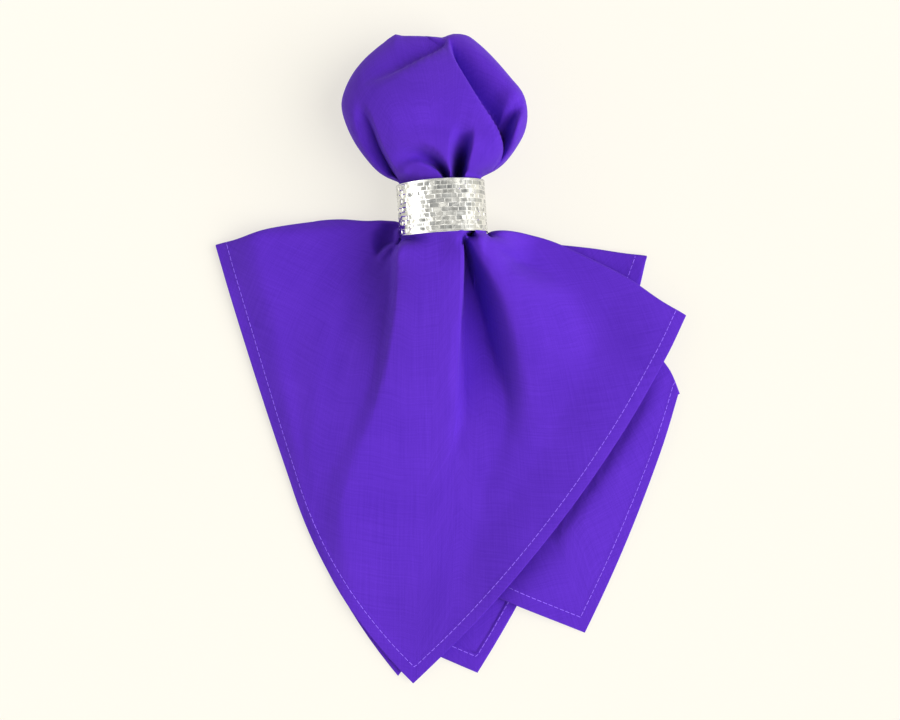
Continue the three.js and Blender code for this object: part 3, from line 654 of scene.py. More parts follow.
def skirt():
    """The cloth's middle surface from the hem to the ring's mouth: each layer's rays at its height, and
    half rounds between them at the folds. Close to the ring it grows out of the round mouth."""
    steps, from_mouth = skirt_steps()
    x, y = ray(ANGLE, steps)
    in_front = (LAYER == 0) * (ROLL == 0) * smooth((-RING_HALF - 4 - y) / 6)
    for edge in (LEFT_EDGE, RIGHT_EDGE):
        run = np.stack([RIDGE[:, edge], RIDGE[:, 0]], axis=1)
        drawn_x, drawn_y = drawn_to(run, EDGE_REACH, x, y)
        x = mix(x, drawn_x, in_front)
        y = mix(y, drawn_y, in_front)
    from_hem = from_mouth[0] - from_mouth
    front_fold = LAYERS[0, 1]
    right_first, right_last = LAYERS[2, :2]
    front_hem = np.stack(hem_point(np.linspace(0, front_fold, FRONT_HEM_POINTS)), axis=1)
    on_right_panel = (LAYER == 2) * (ROLL == 0) * smooth((right_last - ANGLE) / 6)
    on_right_panel = on_right_panel * smooth((ANGLE - right_first) / 2)
    drawn_x, drawn_y = drawn_to(front_hem, np.full(FRONT_HEM_POINTS, HEM_CROWDING_REACH), x, y)
    clear_of_hem = on_right_panel * smooth((from_hem - OWN_HEM) / 8)
    x = mix(x, drawn_x, clear_of_hem)
    y = mix(y, drawn_y, clear_of_hem)
    base, pivot, factor, over = skirt_heights(x, y)
    pick = lambda k: np.take_along_axis(over, np.broadcast_to(k, x.shape)[None], axis=0)[0]
    next_layer = (LAYER + 1) % len(LAYERS)
    above, below = pick(LAYER), pick(next_layer)
    folded = ROLL > 0
    height = base + np.where(folded, (above + below) / 2 + (above - below) / 2 * np.cos(ROLL), above)
    step = 0.004
    ax, ay = ray(ANGLE, np.maximum(steps - step, 0))
    bx, by = ray(ANGLE, np.minimum(steps + step, 1))
    sweep = np.where(LAYER % 2 == 0, 1, -1) / np.hypot(bx - ax, by - ay)
    widest = mix(MOUTH_ROLL, SKIRT_ROLL, smooth(from_mouth / 8)) * smooth(from_mouth / 3)
    reach = np.clip(np.abs(above - below) / 2, LAYER_PITCH / 2, widest) * np.sin(ROLL)
    x = x - (by - ay) * sweep * reach
    y = y + (bx - ax) * sweep * reach
    turn = np.radians(np.interp(FLAT_ANGLE, *MOUTH_TURNS.T))
    hidden = (LAYER > 0) * fade(from_mouth / MOUTH_BLEND, 1)
    opening = RING_RADIUS + (MOUTH_RADIUS - MOUTH_PLEATS * PLEAT * hidden) * np.sin(turn)
    height = mix(opening, height, smooth(from_mouth / MOUTH_BLEND))
    height = pivot + (height - pivot) * np.where(height > pivot, factor, 1)
    notched = notch_in(MOUTH_RADIUS * np.cos(turn), opening, MOUTH_RADIUS)
    height = mix(notched, height, smooth(from_mouth / NOTCH_BLEND))
    lifted = (LAYER == 0) * (ROLL == 0) * smooth((ANGLE - 3) / 8) * smooth((front_fold - ANGLE) / 5)
    height = height + HEM_LIFT * lifted * fade(from_hem / HEM_LIFT_REACH, 1.5)
    out = -beside(front_hem, x, y)[1]
    swell = smooth((out - HEM_SWELL_START) / HEM_SWELL_RISE)
    swell = swell * fade(np.maximum(out - HEM_SWELL_RISE, 0) / HEM_SWELL_REACH, 1.5)
    height = height + HEM_SWELL * swell * on_right_panel
    beside_ring = smooth((y + RING_HALF + 1) / 2)
    radius = np.hypot(x, height - RING_RADIUS)
    push = np.maximum((RING_RADIUS + RING_CLEAR) / radius, 1)
    x = mix(x, x * push, beside_ring)
    height = mix(height, RING_RADIUS + (height - RING_RADIUS) * push, beside_ring)
    return np.stack([x, y, np.maximum(height, REST_LEVEL)], axis=-1)


# The puff's stations from the ring's waist to its crown: y along the axis, its left and right sides,
# and its top and bottom, pressed flat where it would sink into the table.
PUFF = np.array([
    # y, left, right, top, bottom
    (13.5, -20.7, 20.7, 43.7, 2.3), (16, -21.6, 21.9, 43.8, 2.2), (19, -27.5, 29, 44.5, 1),
    (23, -32.6, 34.6, 47, -0.5), (30, -38, 40.6, 50, -2), (38, -42.8, 45.4, 52, -3),
    (47, -46.4, 47, 52.5, -3.5), (56, -48, 45.4, 51.5, -3), (64, -45.8, 40, 49, -2),
    (72, -41.2, 34.2, 45.5, -0.5), (79, -35, 28.6, 41, 2), (84, -29, 24, 36.5, 6),
    (87.3, -24, 20.4, 32.5, 10.5),
    (88.8, -21, 17.4, 29, 14), (89.7, -17, 13, 25, 17.5), (90, -3.5, -3.5, 20.8, 20.8),
])
PUFF_MIDDLE = 22.0  # the height at which its sections are widest
CROWN_START = 60.0  # from this station on, the puff's middle moves over to its crown
CROWN_RUN = 30.0
PUFF_ROWS = 56
RING_ROWS = 10
PLEAT_DEPTH = 9.5  # of the small pleats in the ring's waist, which fade out in the puff
PLEATS_FADE = 45.0
PUFF_FULLNESS = 0.62  # 1 for an oval section, less for a boxier one
FIRST_TURN = 135.0  # where the first ray stands on the puff, in degrees

# The crown's edge in plan: how far it stands out or in, from the sharp left tip over the flat edge and
# the notch to the round right hump.
CROWN_EDGE = np.array([
    # x, out
    (-30, 0), (-24, 0.4), (-20.5, 1.3), (-18, 2.1), (-16.5, 1.6), (-14.5, 0.9), (-6, 0.1), (0, -0.7),
    (4, -1.3), (6.5, -1.7), (8.5, -0.7), (11.5, 0.1), (16, 0.2), (24, 0),
])

# Lips of the puff, where cloth folds over along the run: on the low side (1 is left of the run) it drops
# within the edge's width and comes back up over the valley's. Points are drawn to it from its reach.
PUFF_LIPS = {
    "right lip": (1, [
        # x, y, drop, edge, valley, reach
        (8.8, 86, 0, 1.6, 7, 0.5), (9.8, 80, 5, 1.6, 10, 4), (11.3, 73.7, 10, 1.6, 12, 5),
        (16.8, 61.8, 15, 1.6, 17, 6), (22.9, 50.3, 19, 1.6, 21, 6), (27.8, 42.4, 20, 1.6, 16, 6),
        (31.4, 35.8, 19, 1.6, 9, 5),
        (32.9, 30.2, 16, 1.6, 7.5, 5), (32.2, 25, 11, 1.6, 6, 4), (29.4, 20.4, 6, 1.6, 5, 3),
        (26, 16.5, 2, 1.6, 4, 2), (23, 13.5, 0, 1.6, 4, 0.5),
    ]),
    "left lip": (-1, [
        (-38.5, 51.5, 0, 2.5, 8, 0.5), (-34.6, 48.5, 4, 2.2, 12, 3), (-31.6, 42, 9, 1.8, 15, 5),
        (-29, 33.5, 14, 1.8, 14, 5), (-26, 26.5, 17, 1.8, 11, 5), (-22.8, 20, 15, 1.8, 8, 4),
        (-20.8, 15, 7, 1.8, 5, 3), (-20, 11, 0, 1.8, 4, 0.5),
    ]),
    "crown facet": (-1, [
        (8.3, 86, 0, 1.6, 14, 0.5), (6, 82, 5, 1.5, 16, 3), (0.7, 77.9, 8, 1.6, 22, 5),
        (-7.2, 73.9, 8.5, 1.8, 27, 5), (-16.6, 69.2, 7, 2.6, 28, 5),
        (-26.4, 65.1, 3.6, 4.5, 24, 4), (-37.1, 63.2, 0, 6, 20, 0.5),
    ]),
}
# Valleys of the puff, and swells where the depth is less than nothing: place, width to the left and
# right of the run, and depth.
PUFF_VALLEYS = {
    "deep pleat": [
        # x, y, left, right, depth
        (14, 37.5, 5, 6, 0), (13.2, 33, 5, 7, 7), (12.4, 28, 4.8, 7, 16), (11.2, 23, 4.4, 6.4, 23),
        (10, 18, 3.8, 5.2, 24), (9.3, 14, 3.2, 4.2, 21), (9, 9, 3, 3, 12),
    ],
    "curved pleat": [
        (-23, 21, 4, 5, 0), (-17, 25.6, 4, 5, 3.5), (-10.4, 26.5, 4, 5, 6.5), (-5.5, 24.8, 3.8, 4.6, 9.5),
        (-1.9, 22.4, 3.4, 4, 12.5), (1.2, 19, 2.8, 3.2, 15), (2.9, 15.5, 2.4, 2.6, 15),
        (3.4, 11, 2.2, 2.2, 9),
    ],
    "soft dip": [
        (-22, 42, 8, 8, 0), (-12, 42, 9, 9, 1.5), (0, 41, 9, 8.5, 3), (12, 38.5, 8, 8, 3.4),
        (22, 36, 7, 7, 2.2), (30, 33, 5, 5, 0),
    ],
    "side pleat": [
        (33.5, 30, 3, 3, 0), (35.5, 35.5, 4.5, 4, 5), (38, 42, 5, 4.5, 7), (41.5, 47.5, 4.5, 4, 5),
        (46, 53, 4, 4, 0),
    ],
    "right swell": [(34, 24, 5, 5, 0), (38, 31, 6, 6, -4), (42.5, 39, 6, 6, -4), (46, 45, 5, 5, 0)],
    "left swell": [(-43, 60, 8, 8, 0), (-45, 50, 7, 7, -2), (-42, 40, 4, 4, -1), (-37, 31, 4, 4, 0)],
    "foot of the left lip": [(-16, 22, 4, 4, 0), (-18, 18, 4, 4, -2), (-18, 14, 4, 4, 0)],
}
PUFF_LIPS = {name: (low, np.array(rows, float)) for name, (low, rows) in PUFF_LIPS.items()}
PUFF_VALLEYS = {name: np.array(rows, float) for name, rows in PUFF_VALLEYS.items()}


def puff_press(x, y):
    """How deep the puff's lips and valleys press its top in at a place."""
    depth = np.zeros(x.shape)
    for low, run in PUFF_LIPS.values():
        along, side, _, _ = beside(run, x, y)
        drop, edge, valley = (np.interp(along, np.arange(len(run)), run[:, k]) for k in (2, 3, 4))
        past = side * low + edge / 2
        depth += drop * smooth(past / edge) * (1 - np.clip((past - edge) / valley, 0, 1)) ** 1.6
    for run in PUFF_VALLEYS.values():
        along, side, _, _ = beside(run, x, y)
        left, right, most = (np.interp(along, np.arange(len(run)), run[:, k]) for k in (2, 3, 4))
        depth += most * fade(side / np.where(side > 0, left, right), 1.5)
    return depth


def fullness(y):
    """How boxy the puff's upper half is at a station: round in the ring, full beyond it."""
    return mix(1, PUFF_FULLNESS, smooth((y - RING_HALF) / 16))


def crown_shift(y):
    """How far the middle of the puff's section has moved over to the crown at a station."""
    return PUFF[-1, 1] * smooth((y - CROWN_START) / CROWN_RUN)


def plain_roof(x, y):
    """The height of the puff's top at a place before its folds: an oval or boxier arch between its
    sides."""
    _, left, right, top, _ = rows_at(PUFF, PUFF[:, 0], y)
    centre = crown_shift(y)
    side = (x - centre) / np.where(x > centre, right - centre, centre - left)
    return PUFF_MIDDLE + (top - PUFF_MIDDLE) * np.maximum(1 - side ** 2, 0.02) ** (fullness(y) / 2)


def ring_and_puff():
    """The cloth's middle surface from the ring's mouth to the crown: round sections in the ring, whose
    rays turn from their places in the mouth to an even spread, and then the puff's stations."""
    mouth_turn = np.radians(np.interp(FLAT_ANGLE, *MOUTH_TURNS.T))
    puff_turn = np.radians(FIRST_TURN - (FLAT_ANGLE - FLAT_ANGLE[0]))
    y = np.linspace(-RING_HALF, RING_HALF, RING_ROWS + 2)[1:-1, None]
    turn = mix(mouth_turn, puff_turn, smooth((y + RING_HALF) / (2 * RING_HALF)))
    outer = mix(WAIST_RADIUS, MOUTH_RADIUS, (y / RING_HALF) ** 2)
    at_mouth = np.where(LAYER > 0, MOUTH_PLEATS, 0)
    at_puff = PLEAT_DEPTH * smooth(-np.sin(puff_turn) * 2)
    ends = np.where(y < 0, at_mouth, at_puff)
    radius = outer - mix(PLEAT_DEPTH, ends, smooth((np.abs(y) - 4) / (RING_HALF - 6))) * PLEAT
    x = radius * np.cos(turn)
    z = RING_RADIUS + radius * np.sin(turn)
    y = np.repeat(y, AROUND, axis=1)
    z = mix(z, notch_in(x, z, radius), smooth(-y / RING_HALF))
    z = z - puff_press(x, y) * smooth(y / RING_HALF) * (turn > 0) * smooth(np.sin(turn) * 1.6)
    ring_rows = np.stack([x, y, z], axis=-1)

    station = np.linspace(0, len(PUFF) - 1, PUFF_ROWS)[:-1, None]
    rows = np.arange(len(PUFF), dtype=float)
    y, left, right, top, bottom = (through(rows, PUFF[:, k:k + 1], station) for k in range(5))
    side = np.cos(puff_turn)
    up = np.sin(puff_turn)
    middle = mix(RING_RADIUS, PUFF_MIDDLE, smooth(y / 27))
    shift = crown_shift(y)
    x = np.where(side > 0, (right - shift) * side, (shift - left) * side) + shift
    z = middle + np.where(up > 0, (top - middle) * np.abs(up) ** fullness(y), (bottom - middle) * np.abs(up))
    depth = PLEAT_DEPTH * PLEAT * smooth(-up * 2) * fade((y - RING_HALF) / PLEATS_FADE, 1.5)
    depth = depth * (y < RING_HALF + PLEATS_FADE)
    inward = 1 - depth / np.maximum(np.hypot(x - shift, z - middle), depth + 1)
    x = shift + (x - shift) * inward
    z = middle + (z - middle) * inward
    y = np.repeat(y, AROUND, axis=1)
    drawn_x, drawn_y = x, y
    for _, run in PUFF_LIPS.values():
        drawn_x, drawn_y = drawn_to(run, run[:, 5], drawn_x, drawn_y)
    on_top = smooth(up * 3)
    drawn_x = mix(x, drawn_x, on_top)
    drawn_y = mix(y, drawn_y, on_top)
    z = z + plain_roof(drawn_x, drawn_y) - plain_roof(x, y)
    x, y = drawn_x, drawn_y
    z = z - puff_press(x, y) * smooth(up * 1.8) * smooth((92 - y) / 6)
    y = y + np.interp(x, *CROWN_EDGE.T) * smooth((y - 70) / 18)
    puff_rows = np.stack([x, y, np.maximum(z, REST_LEVEL)], axis=-1)
    return np.concatenate([ring_rows, puff_rows])


CROWN = np.array([PUFF[-1, 1], PUFF[-1, 0], PUFF[-1, 3]])
middle_surface = np.concatenate([skirt(), ring_and_puff()])


def closed_grid_faces(down, around, pole):
    """Faces of a grid that is closed around, with a fan from its last row to one point."""
    row = np.arange(down - 1)[:, None] * around
    column = np.arange(around)
    after = (column + 1) % around
    quads = np.stack([row + column, row + after, row + around + after, row + around + column], axis=-1)
    last = (down - 1) * around
    fan = np.stack([last + column, last + after, np.full(around, pole)], axis=-1)
    return quads.reshape(-1, 4), fan


def grid_normals(grid):
    """Unit normals of a grid that is closed around, from the steps to each point's neighbours."""
    around = np.roll(grid, -1, axis=1) - np.roll(grid, 1, axis=1)
    down = np.gradient(grid, axis=0)
    normal = np.cross(around, down)
    return normal / np.maximum(np.linalg.norm(normal, axis=-1, keepdims=True), 1e-9)


RIM_ROUND = 0.3  # how far in from its edge the cloth is rounded off, and its share of the thickness there
RIM_SHARE = 0.45
HEM_RISE = 0.12  # what the hem's double fold adds on the right side, and on the wrong side
HEM_TURNS = 0.6
GROOVE_DEPTH = 0.1
GROOVE_HALF = 0.9
FAR_FROM_HEM = 99.0


def hem_share(from_hem):
    """1 over the double fold, falling softly to 0 inside it."""
    return 1 - smooth((from_hem - HEM_WIDTH + 0.2) / 0.5)


def stitch_groove(from_hem):
    """How deep the stitches pull the cloth in, beside their line."""
    return GROOVE_DEPTH * fade((from_hem - STITCH_LINE) / GROOVE_HALF, 1)


def rim_share(from_hem):
    """The share of its thickness that the cloth has near its rounded edge."""
    return mix(RIM_SHARE, 1, smooth(from_hem / RIM_ROUND))


def right_lift(from_hem):
    """How far the right side stands off the cloth's middle, rounded off at the edge."""
    return CLOTH_THICK / 2 * rim_share(from_hem) + HEM_RISE * hem_share(from_hem) - stitch_groove(from_hem)


def wrong_lift(from_hem):
    """How far the wrong side stands off the cloth's middle: the hem's two turns lie on this side."""
    full = CLOTH_THICK / 2 + HEM_TURNS * hem_share(from_hem) - stitch_groove(from_hem)
    return full * rim_share(from_hem)


def napkin_mesh(grid):
    """The cloth as a closed sheet: a right side, a wrong side that is thicker over the hem's double
    fold, and a rim. The UV map is each point's place on the flat square."""
    down = len(grid)
    normal = grid_normals(grid)
    from_hem = np.concatenate([HEM_ROWS, np.full(down - len(HEM_ROWS), FAR_FROM_HEM)])[:, None, None]
    right_side = grid + normal * right_lift(from_hem)
    wrong_side = grid - normal * wrong_lift(from_hem)
    count = down * AROUND + 1
    points = np.concatenate([
        right_side.reshape(-1, 3), [CROWN + (0, CLOTH_THICK / 2, 0)],
        wrong_side.reshape(-1, 3), [CROWN - (0, CLOTH_THICK / 2, 0)],
    ])
    quads, fan = closed_grid_faces(down, AROUND, count - 1)
    column = np.arange(AROUND)
    after = (column + 1) % AROUND
    rim = np.stack([column, count + column, count + after, after], axis=-1)
    sides = [quads, fan, quads[:, ::-1] + count, fan[:, ::-1] + count, rim]
    faces = [face for side in sides for face in side.tolist()]
    mesh = bpy.data.meshes.new("napkin_cloth")
    mesh.from_pydata(in_part(points).tolist(), [], faces)

    step = np.linalg.norm(np.diff(grid, axis=0), axis=-1)
    travelled = np.vstack([np.zeros(AROUND), np.cumsum(step, axis=0)])
    share = 1 - travelled / (travelled[-1] + np.linalg.norm(grid[-1] - CROWN, axis=-1))
    angle = np.radians(FLAT_ANGLE)
    to_side = HALF_SIDE / np.cos(np.radians(np.abs(FLAT_ANGLE % 90 - 45)))
    flat = np.stack([share * to_side * np.cos(angle), share * to_side * np.sin(angle)], axis=-1)
    flat = np.concatenate([flat.reshape(-1, 2), [[0, 0]]])
    flat = np.concatenate([flat, flat]) / (2 * HALF_SIDE) + 0.5
    loops = np.zeros(len(mesh.loops), np.int32)
    mesh.loops.foreach_get("vertex_index", loops)
    uv = mesh.uv_layers.new(name="flat_cloth")
    uv.data.foreach_set("uv", flat[loops].astype(np.float32).ravel())
    mesh.polygons.foreach_set("use_smooth", np.ones(len(mesh.polygons), bool))
    return mesh


napkin = placed("napkin_cloth", napkin_mesh(middle_surface))

# The cloth is a fine plain weave. In its group, over and under threads are ribs across and along whose
# sign of the sine product says which one lies on top, and thick and thin threads make faint streaks.
weave, weave_in, weave_out = new_group(
    "plain_weave", {"Place": "Vector", "Pitch": "Float"}, {"Height": "Float", "Streaks": "Float"})
across = put(weave, "ShaderNodeSeparateXYZ", weave_in["Place"])
threads = [math(weave, "DIVIDE", across.outputs[k], weave_in["Pitch"]) for k in (0, 1)]
turns = [math(weave, "MULTIPLY", thread, np.pi) for thread in threads]
waves = [math(weave, "SINE", turn) for turn in turns]
on_top = math(weave, "GREATER_THAN", math(weave, "MULTIPLY", *waves), 0.0)
ribs = [math(weave, "ABSOLUTE", wave) for wave in waves]
height = math(weave, "MULTIPLY_ADD", on_top, math(weave, "SUBTRACT", *ribs), ribs[1])
weave.links.new(height, weave_out["Height"])
streaks = []
for stretch in ((1.3, 0.03, 1), (0.03, 1.3, 1)):
    stretched = put(weave, "ShaderNodeVectorMath", weave_in["Place"], stretch, operation="MULTIPLY")
    streaky = put(weave, "ShaderNodeTexNoise", stretched.outputs[0], None, 1.0, 3.0, 0.6)
    streaks.append(streaky.outputs["Fac"])
weave.links.new(math(weave, "MULTIPLY", math(weave, "ADD", *streaks), 0.5), weave_out["Streaks"])

THREAD_PITCH = 0.42
WEAR_GRAIN = 0.03  # clouds in each millimetre of its colour
STREAK_CONTRAST = 2.4
PUCKER_DEPTH = 9.0  # how deep the cloth is drawn in beside the stitches, in thread heights
PUCKER_REACH = 6.5
PUCKER_GRAIN = 0.22
cloth_paint, tree, shader = new_paint(
    "purple_cloth", (0.122, 0.034, 0.525), 0.78,
    Sheen_Weight=0.12, Sheen_Roughness=0.5, Specular_IOR_Level=0.25)
shader.inputs["Sheen Tint"].default_value = (0.62, 0.45, 1, 1)
flat_place = put(tree, "ShaderNodeUVMap", uv_map="flat_cloth")
in_mm = put(tree, "ShaderNodeVectorMath", flat_place.outputs["UV"], (2 * HALF_SIDE,) * 3,
            operation="MULTIPLY").outputs[0]
woven = put(tree, "ShaderNodeGroup", node_tree=weave)
tree.links.new(in_mm, woven.inputs["Place"])
woven.inputs["Pitch"].default_value = THREAD_PITCH
worn = mottled(tree, in_mm, WEAR_GRAIN)
streak = math(tree, "SUBTRACT", woven.outputs["Streaks"], 0.5)
tone = math(tree, "MULTIPLY_ADD", streak, STREAK_CONTRAST, worn)
tone = put(tree, "ShaderNodeClamp", tone).outputs[0]
colour = blend_colours(tree, tone, (0.1, 0.0265, 0.45, 1), (0.136, 0.039, 0.545, 1))
# Painted shade between the threads: the base colour is made darker where the weave lies low and lighter on
# the threads' tops.
weave_shade = math(tree, "MULTIPLY_ADD", woven.outputs["Height"], 0.22, 0.83)
shaded_colour = put(tree, "ShaderNodeVectorMath", colour, operation="SCALE")
tree.links.new(weave_shade, shaded_colour.inputs["Scale"])
tree.links.new(shaded_colour.outputs[0], shader.inputs["Base Color"])
relief = math(tree, "MULTIPLY_ADD", woven.outputs["Streaks"], 1.2, woven.outputs["Height"])
from_middle = put(tree, "ShaderNodeVectorMath", in_mm, (HALF_SIDE,) * 3, operation="SUBTRACT")
from_middle = put(tree, "ShaderNodeVectorMath", from_middle.outputs[0], operation="ABSOLUTE")
sides = put(tree, "ShaderNodeSeparateXYZ", from_middle.outputs[0])
from_hem = math(tree, "SUBTRACT", HALF_SIDE, math(tree, "MAXIMUM", sides.outputs[0], sides.outputs[1]))
from_stitches = math(tree, "ABSOLUTE", math(tree, "SUBTRACT", from_hem, STITCH_LINE))
by_stitches = eased(tree, from_stitches, 0.0, PUCKER_REACH, 1.0, 0.0)
puckers = put(tree, "ShaderNodeTexNoise", in_mm, None, PUCKER_GRAIN, 1.0, 0.5).outputs["Fac"]
relief = math(tree, "MULTIPLY_ADD", math(tree, "MULTIPLY", puckers, by_stitches), PUCKER_DEPTH, relief)
bump = put(tree, "ShaderNodeBump", 0.35, 0.00012)
tree.links.new(relief, bump.inputs["Height"])
tree.links.new(bump.outputs[0], shader.inputs["Normal"])
napkin.data.materials.append(cloth_paint)
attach(napkin, "root")
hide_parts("napkin")

# The hem is held by one row of machine stitches in a paler thread, 6 mm in from the edge. Each stitch
# shows as a short bar on both faces, sunk a little into the cloth.
STITCH_PITCH = 3.3
STITCH_LENGTH = 2.6
STITCH_RADIUS = 0.2
STITCH_SIDES = 5
STITCH_PROFILE = np.array([(-0.5, 0.35), (-0.36, 1), (0.36, 1), (0.5, 0.35)])  # place along it, radius
STITCH_STAND = 0.35  # how much of its radius the middle of a stitch stands off the cloth
STITCH_FLATNESS = 0.7


def stitch_bars(face):
    """Bars along the hem's stitch line on one face, as points, quads and end caps: each is a tube of
    rounds about the line after the stitch's profile, and stands off the cloth along its normal."""
    row = int(np.argmin(np.abs(HEM_ROWS - STITCH_LINE)))
    line = middle_surface[row]
    normal = grid_normals(middle_surface)[row]
    lift = right_lift(STITCH_LINE) if face > 0 else -wrong_lift(STITCH_LINE)
    line = line + normal * (lift + face * STITCH_RADIUS * STITCH_STAND)
    line = np.vstack([line, line[:1]])
    normal = np.vstack([normal, normal[:1]])
    travelled = np.append(0, np.cumsum(np.linalg.norm(np.diff(line, axis=0), axis=1)))
    count = int(travelled[-1] / STITCH_PITCH)
    middles = (np.arange(count) + 0.5) * travelled[-1] / count
    along = STITCH_PROFILE[:, 0] * STITCH_LENGTH
    swell = STITCH_PROFILE[:, 1] * STITCH_RADIUS
    at = (middles[:, None] + along) % travelled[-1]
    place = np.stack([np.interp(at, travelled, line[:, k]) for k in range(3)], axis=-1)
    up = np.stack([np.interp(at, travelled, normal[:, k]) for k in range(3)], axis=-1)
    forward = place[:, -1:] - place[:, :1]
    side = np.cross(forward, up)
    side = side / np.maximum(np.linalg.norm(side, axis=-1, keepdims=True), 1e-9)
    turn = np.arange(STITCH_SIDES) * 2 * np.pi / STITCH_SIDES
    sideways = side[:, :, None] * np.cos(turn)[:, None]
    upwards = up[:, :, None] * np.sin(turn)[:, None] * STITCH_FLATNESS
    around = sideways + upwards
    points = place[:, :, None] + around * swell[:, None, None]
    steps = len(STITCH_PROFILE) - 1
    first = np.arange(count)[:, None, None] * len(STITCH_PROFILE) * STITCH_SIDES
    start = first + np.arange(steps)[:, None] * STITCH_SIDES
    corner = np.arange(STITCH_SIDES)
    after = (corner + 1) % STITCH_SIDES
    end = start + STITCH_SIDES
    walls = np.stack([start + corner, start + after, end + after, end + corner], axis=-1).reshape(-1, 4)
    ends = np.concatenate([first[:, 0] + corner[::-1], first[:, 0] + steps * STITCH_SIDES + corner])
    return points.reshape(-1, 3), walls.tolist() + ends.tolist()


upper_points, upper_faces = stitch_bars(1)
lower_points, lower_faces = stitch_bars(-1)
stitch_mesh = bpy.data.meshes.new("hem_stitches")
stitch_mesh.from_pydata(
    in_part(np.concatenate([upper_points, lower_points])).tolist(), [],
    upper_faces + [[corner + len(upper_points) for corner in face] for face in lower_faces])
outward = bmesh.new()
outward.from_mesh(stitch_mesh)
bmesh.ops.recalc_face_normals(outward, faces=outward.faces)
outward.to_mesh(stitch_mesh)
outward.free()
stitches = placed("hem_stitches", stitch_mesh)
thread_paint, tree, shader = new_paint("stitch_thread", (0.3, 0.15, 0.85), 0.6, Sheen_Weight=0.2)
place = put(tree, "ShaderNodeTexCoord").outputs["Object"]
shade = mottled(tree, place, 400)
thread_colour = blend_colours(tree, shade, (0.22, 0.1, 0.7, 1), (0.4, 0.22, 0.95, 1))
tree.links.new(thread_colour, shader.inputs["Base Color"])
stitch_mesh.materials.append(thread_paint)
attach(stitches, "root")

# The ring: a thin steel band, bright plated, 46 mm across and 27 mm wide. Its face is beaten into rows
# of small tiles of uneven length, each tipped its own way, between raised seams and plain rolled lips.
BAND_RADIUS = 22.68
BORE_RADIUS = 22.05
LIP_WIDTH = 1.2
TILE_ROWS = 11
TILE_LENGTHS = (2.2, 5.4)
TILE_SHIFT = 0.4  # a row starts up to this many radians round from the first
TILE_TIP = 0.2  # the steepest that a tile is tipped along the row, and how much more across it
TILE_CROSS_TIP = 1.3
TILE_LEVEL = 0.05  # how far a whole tile stands in or out
TILE_DEPTH = 0.24  # the most that any of its points does
SEAM_HEIGHT = 0.13
SEAM_HALF = 0.3
BAND_COLUMNS = 576
ROWS_IN_TILE = 9
chance = np.random.default_rng(11)


def tile_edges():
    """Angles at which one row of tiles starts, from uneven lengths that are scaled to close the round."""
    around = 2 * np.pi * BAND_RADIUS
    lengths = chance.uniform(*TILE_LENGTHS, size=int(around / np.mean(TILE_LENGTHS)))
    return np.cumsum(lengths) / lengths.sum() * 2 * np.pi


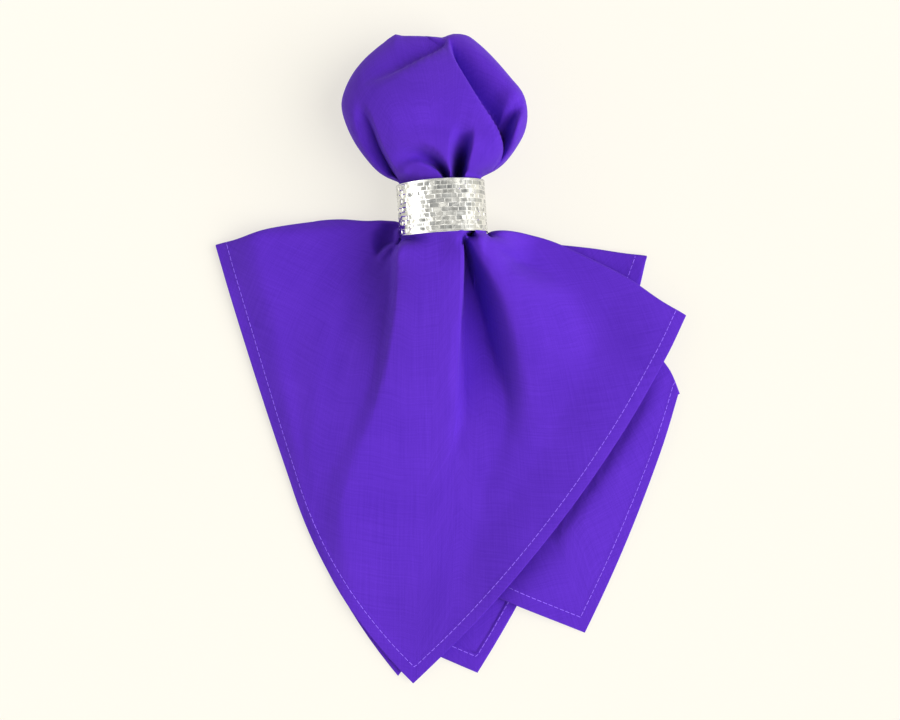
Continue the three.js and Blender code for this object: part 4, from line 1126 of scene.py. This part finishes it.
def beaten_band():
    """The band as a grid closed both ways: down its face in rows over lip, tiles and lip, and back along
    its bore. A tile is a plane through its middle, tipped along and across by chance, that gives way to
    the seam's height within a short way of its edges. Also each point's tile tone and seam share."""
    half = RING_HALF - LIP_WIDTH
    tile = 2 * half / TILE_ROWS
    angle = np.arange(BAND_COLUMNS) * 2 * np.pi / BAND_COLUMNS
    y = np.linspace(-half, half, TILE_ROWS * ROWS_IN_TILE + 1)
    row = np.clip(((y + half) / tile).astype(int), 0, TILE_ROWS - 1)
    across = y + half - (row + 0.5) * tile
    along = np.zeros((TILE_ROWS, BAND_COLUMNS))
    to_end = np.zeros((TILE_ROWS, BAND_COLUMNS))
    draws = np.zeros((4, TILE_ROWS, BAND_COLUMNS))
    for k in range(TILE_ROWS):
        edges = tile_edges()
        shift = chance.uniform(0, TILE_SHIFT)
        bounds = np.concatenate([[0], edges])
        turned = (angle + shift) % (2 * np.pi)
        index = np.clip(np.searchsorted(bounds, turned, side="right") - 1, 0, len(edges) - 1)
        middle = (bounds[index] + bounds[index + 1]) / 2
        along[k] = (turned - middle) * BAND_RADIUS
        to_end[k] = (bounds[index + 1] - bounds[index]) / 2 * BAND_RADIUS - np.abs(along[k])
        draws[:, k] = chance.uniform(-1, 1, size=(4, len(edges)))[:, index]
    tip_along, tip_across, level, tone = draws[:, row]
    plane = TILE_TIP * (tip_along * along[row] + tip_across * TILE_CROSS_TIP * across[:, None])
    plane = np.clip(plane + TILE_LEVEL * level, -TILE_DEPTH, TILE_DEPTH)
    to_edge = np.minimum(to_end[row], (tile / 2 - np.abs(across))[:, None])
    seam = 1 - smooth(to_edge / SEAM_HALF)
    face_radius = BAND_RADIUS + mix(plane, SEAM_HEIGHT, seam)
    lip_y = RING_HALF - np.array([0, 0.08, 0.3, 0.6, 0.9, 1.1])
    lip_radius = RING_RADIUS - np.array([0.3, 0.1, 0, 0, 0.1, 0.26])
    bore_y = RING_HALF - np.array([0.08, 6, 21, 26.92])
    profile_y = np.concatenate([-lip_y, y, lip_y[::-1], bore_y])
    lip = np.repeat(lip_radius[:, None], BAND_COLUMNS, axis=1)
    radius = np.concatenate([lip, face_radius, lip[::-1], np.full((len(bore_y), BAND_COLUMNS), BORE_RADIUS)])
    points = np.stack([
        radius * np.sin(angle), np.repeat(profile_y[:, None], BAND_COLUMNS, axis=1),
        RING_RADIUS + radius * np.cos(angle)], axis=-1)
    plain = np.zeros((len(lip_y), BAND_COLUMNS))
    bore = np.zeros((len(bore_y), BAND_COLUMNS))
    return points, np.concatenate([plain, tone, plain, bore]), np.concatenate([plain, seam, plain, bore])


band_grid, tile_tone, seam_share = beaten_band()
down, around = band_grid.shape[:2]
start = (np.arange(down) * around)[:, None]
below = (np.arange(1, down + 1) % down * around)[:, None]
column = np.arange(around)
after = (column + 1) % around
band_quads = np.stack([start + column, below + column, below + after, start + after], axis=-1).reshape(-1, 4)
band_mesh = bpy.data.meshes.new("beaten_ring")
band_mesh.from_pydata(in_part(band_grid).reshape(-1, 3).tolist(), [], band_quads.tolist())
for name, values in (("tile_tone", tile_tone), ("seam_share", seam_share)):
    kept = band_mesh.attributes.new(name, "FLOAT", "POINT")
    kept.data.foreach_set("value", values.astype(np.float32).ravel())
band_mesh.polygons.foreach_set("use_smooth", np.ones(len(band_mesh.polygons), bool))
band = placed("beaten_ring", band_mesh)
SMEAR_GRAIN = 220.0
TONE_CONTRAST = 0.5  # how far a tile's own tone takes it from its neighbours
silver, tree, shader = new_paint("bright_silver", (0.8, 0.8, 0.77), 0.16, Metallic=1.0)
tone = put(tree, "ShaderNodeAttribute", attribute_name="tile_tone").outputs["Fac"]
seam = put(tree, "ShaderNodeAttribute", attribute_name="seam_share").outputs["Fac"]
place = put(tree, "ShaderNodeTexCoord").outputs["Object"]
smear = mottled(tree, place, SMEAR_GRAIN)
tile_shade = math(tree, "MULTIPLY_ADD", tone, TONE_CONTRAST, smear)
tile_shade = put(tree, "ShaderNodeClamp", tile_shade).outputs[0]
tile_colour = blend_colours(tree, tile_shade, (0.45, 0.46, 0.46, 1), (0.92, 0.92, 0.88, 1))
# The raised seams are painted paler than the tiles: a painted highlight along their ridges.
tree.links.new(blend_colours(tree, seam, tile_colour, (0.95, 0.95, 0.92, 1)), shader.inputs["Base Color"])
tree.links.new(math(tree, "MULTIPLY_ADD", smear, 0.16, 0.08), shader.inputs["Roughness"])
bump = put(tree, "ShaderNodeBump", 0.25, 0.00008)
tree.links.new(mottled(tree, place, 1500), bump.inputs["Height"])
tree.links.new(bump.outputs[0], shader.inputs["Normal"])
band_mesh.materials.append(silver)
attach(band, "root")
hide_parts("ring")
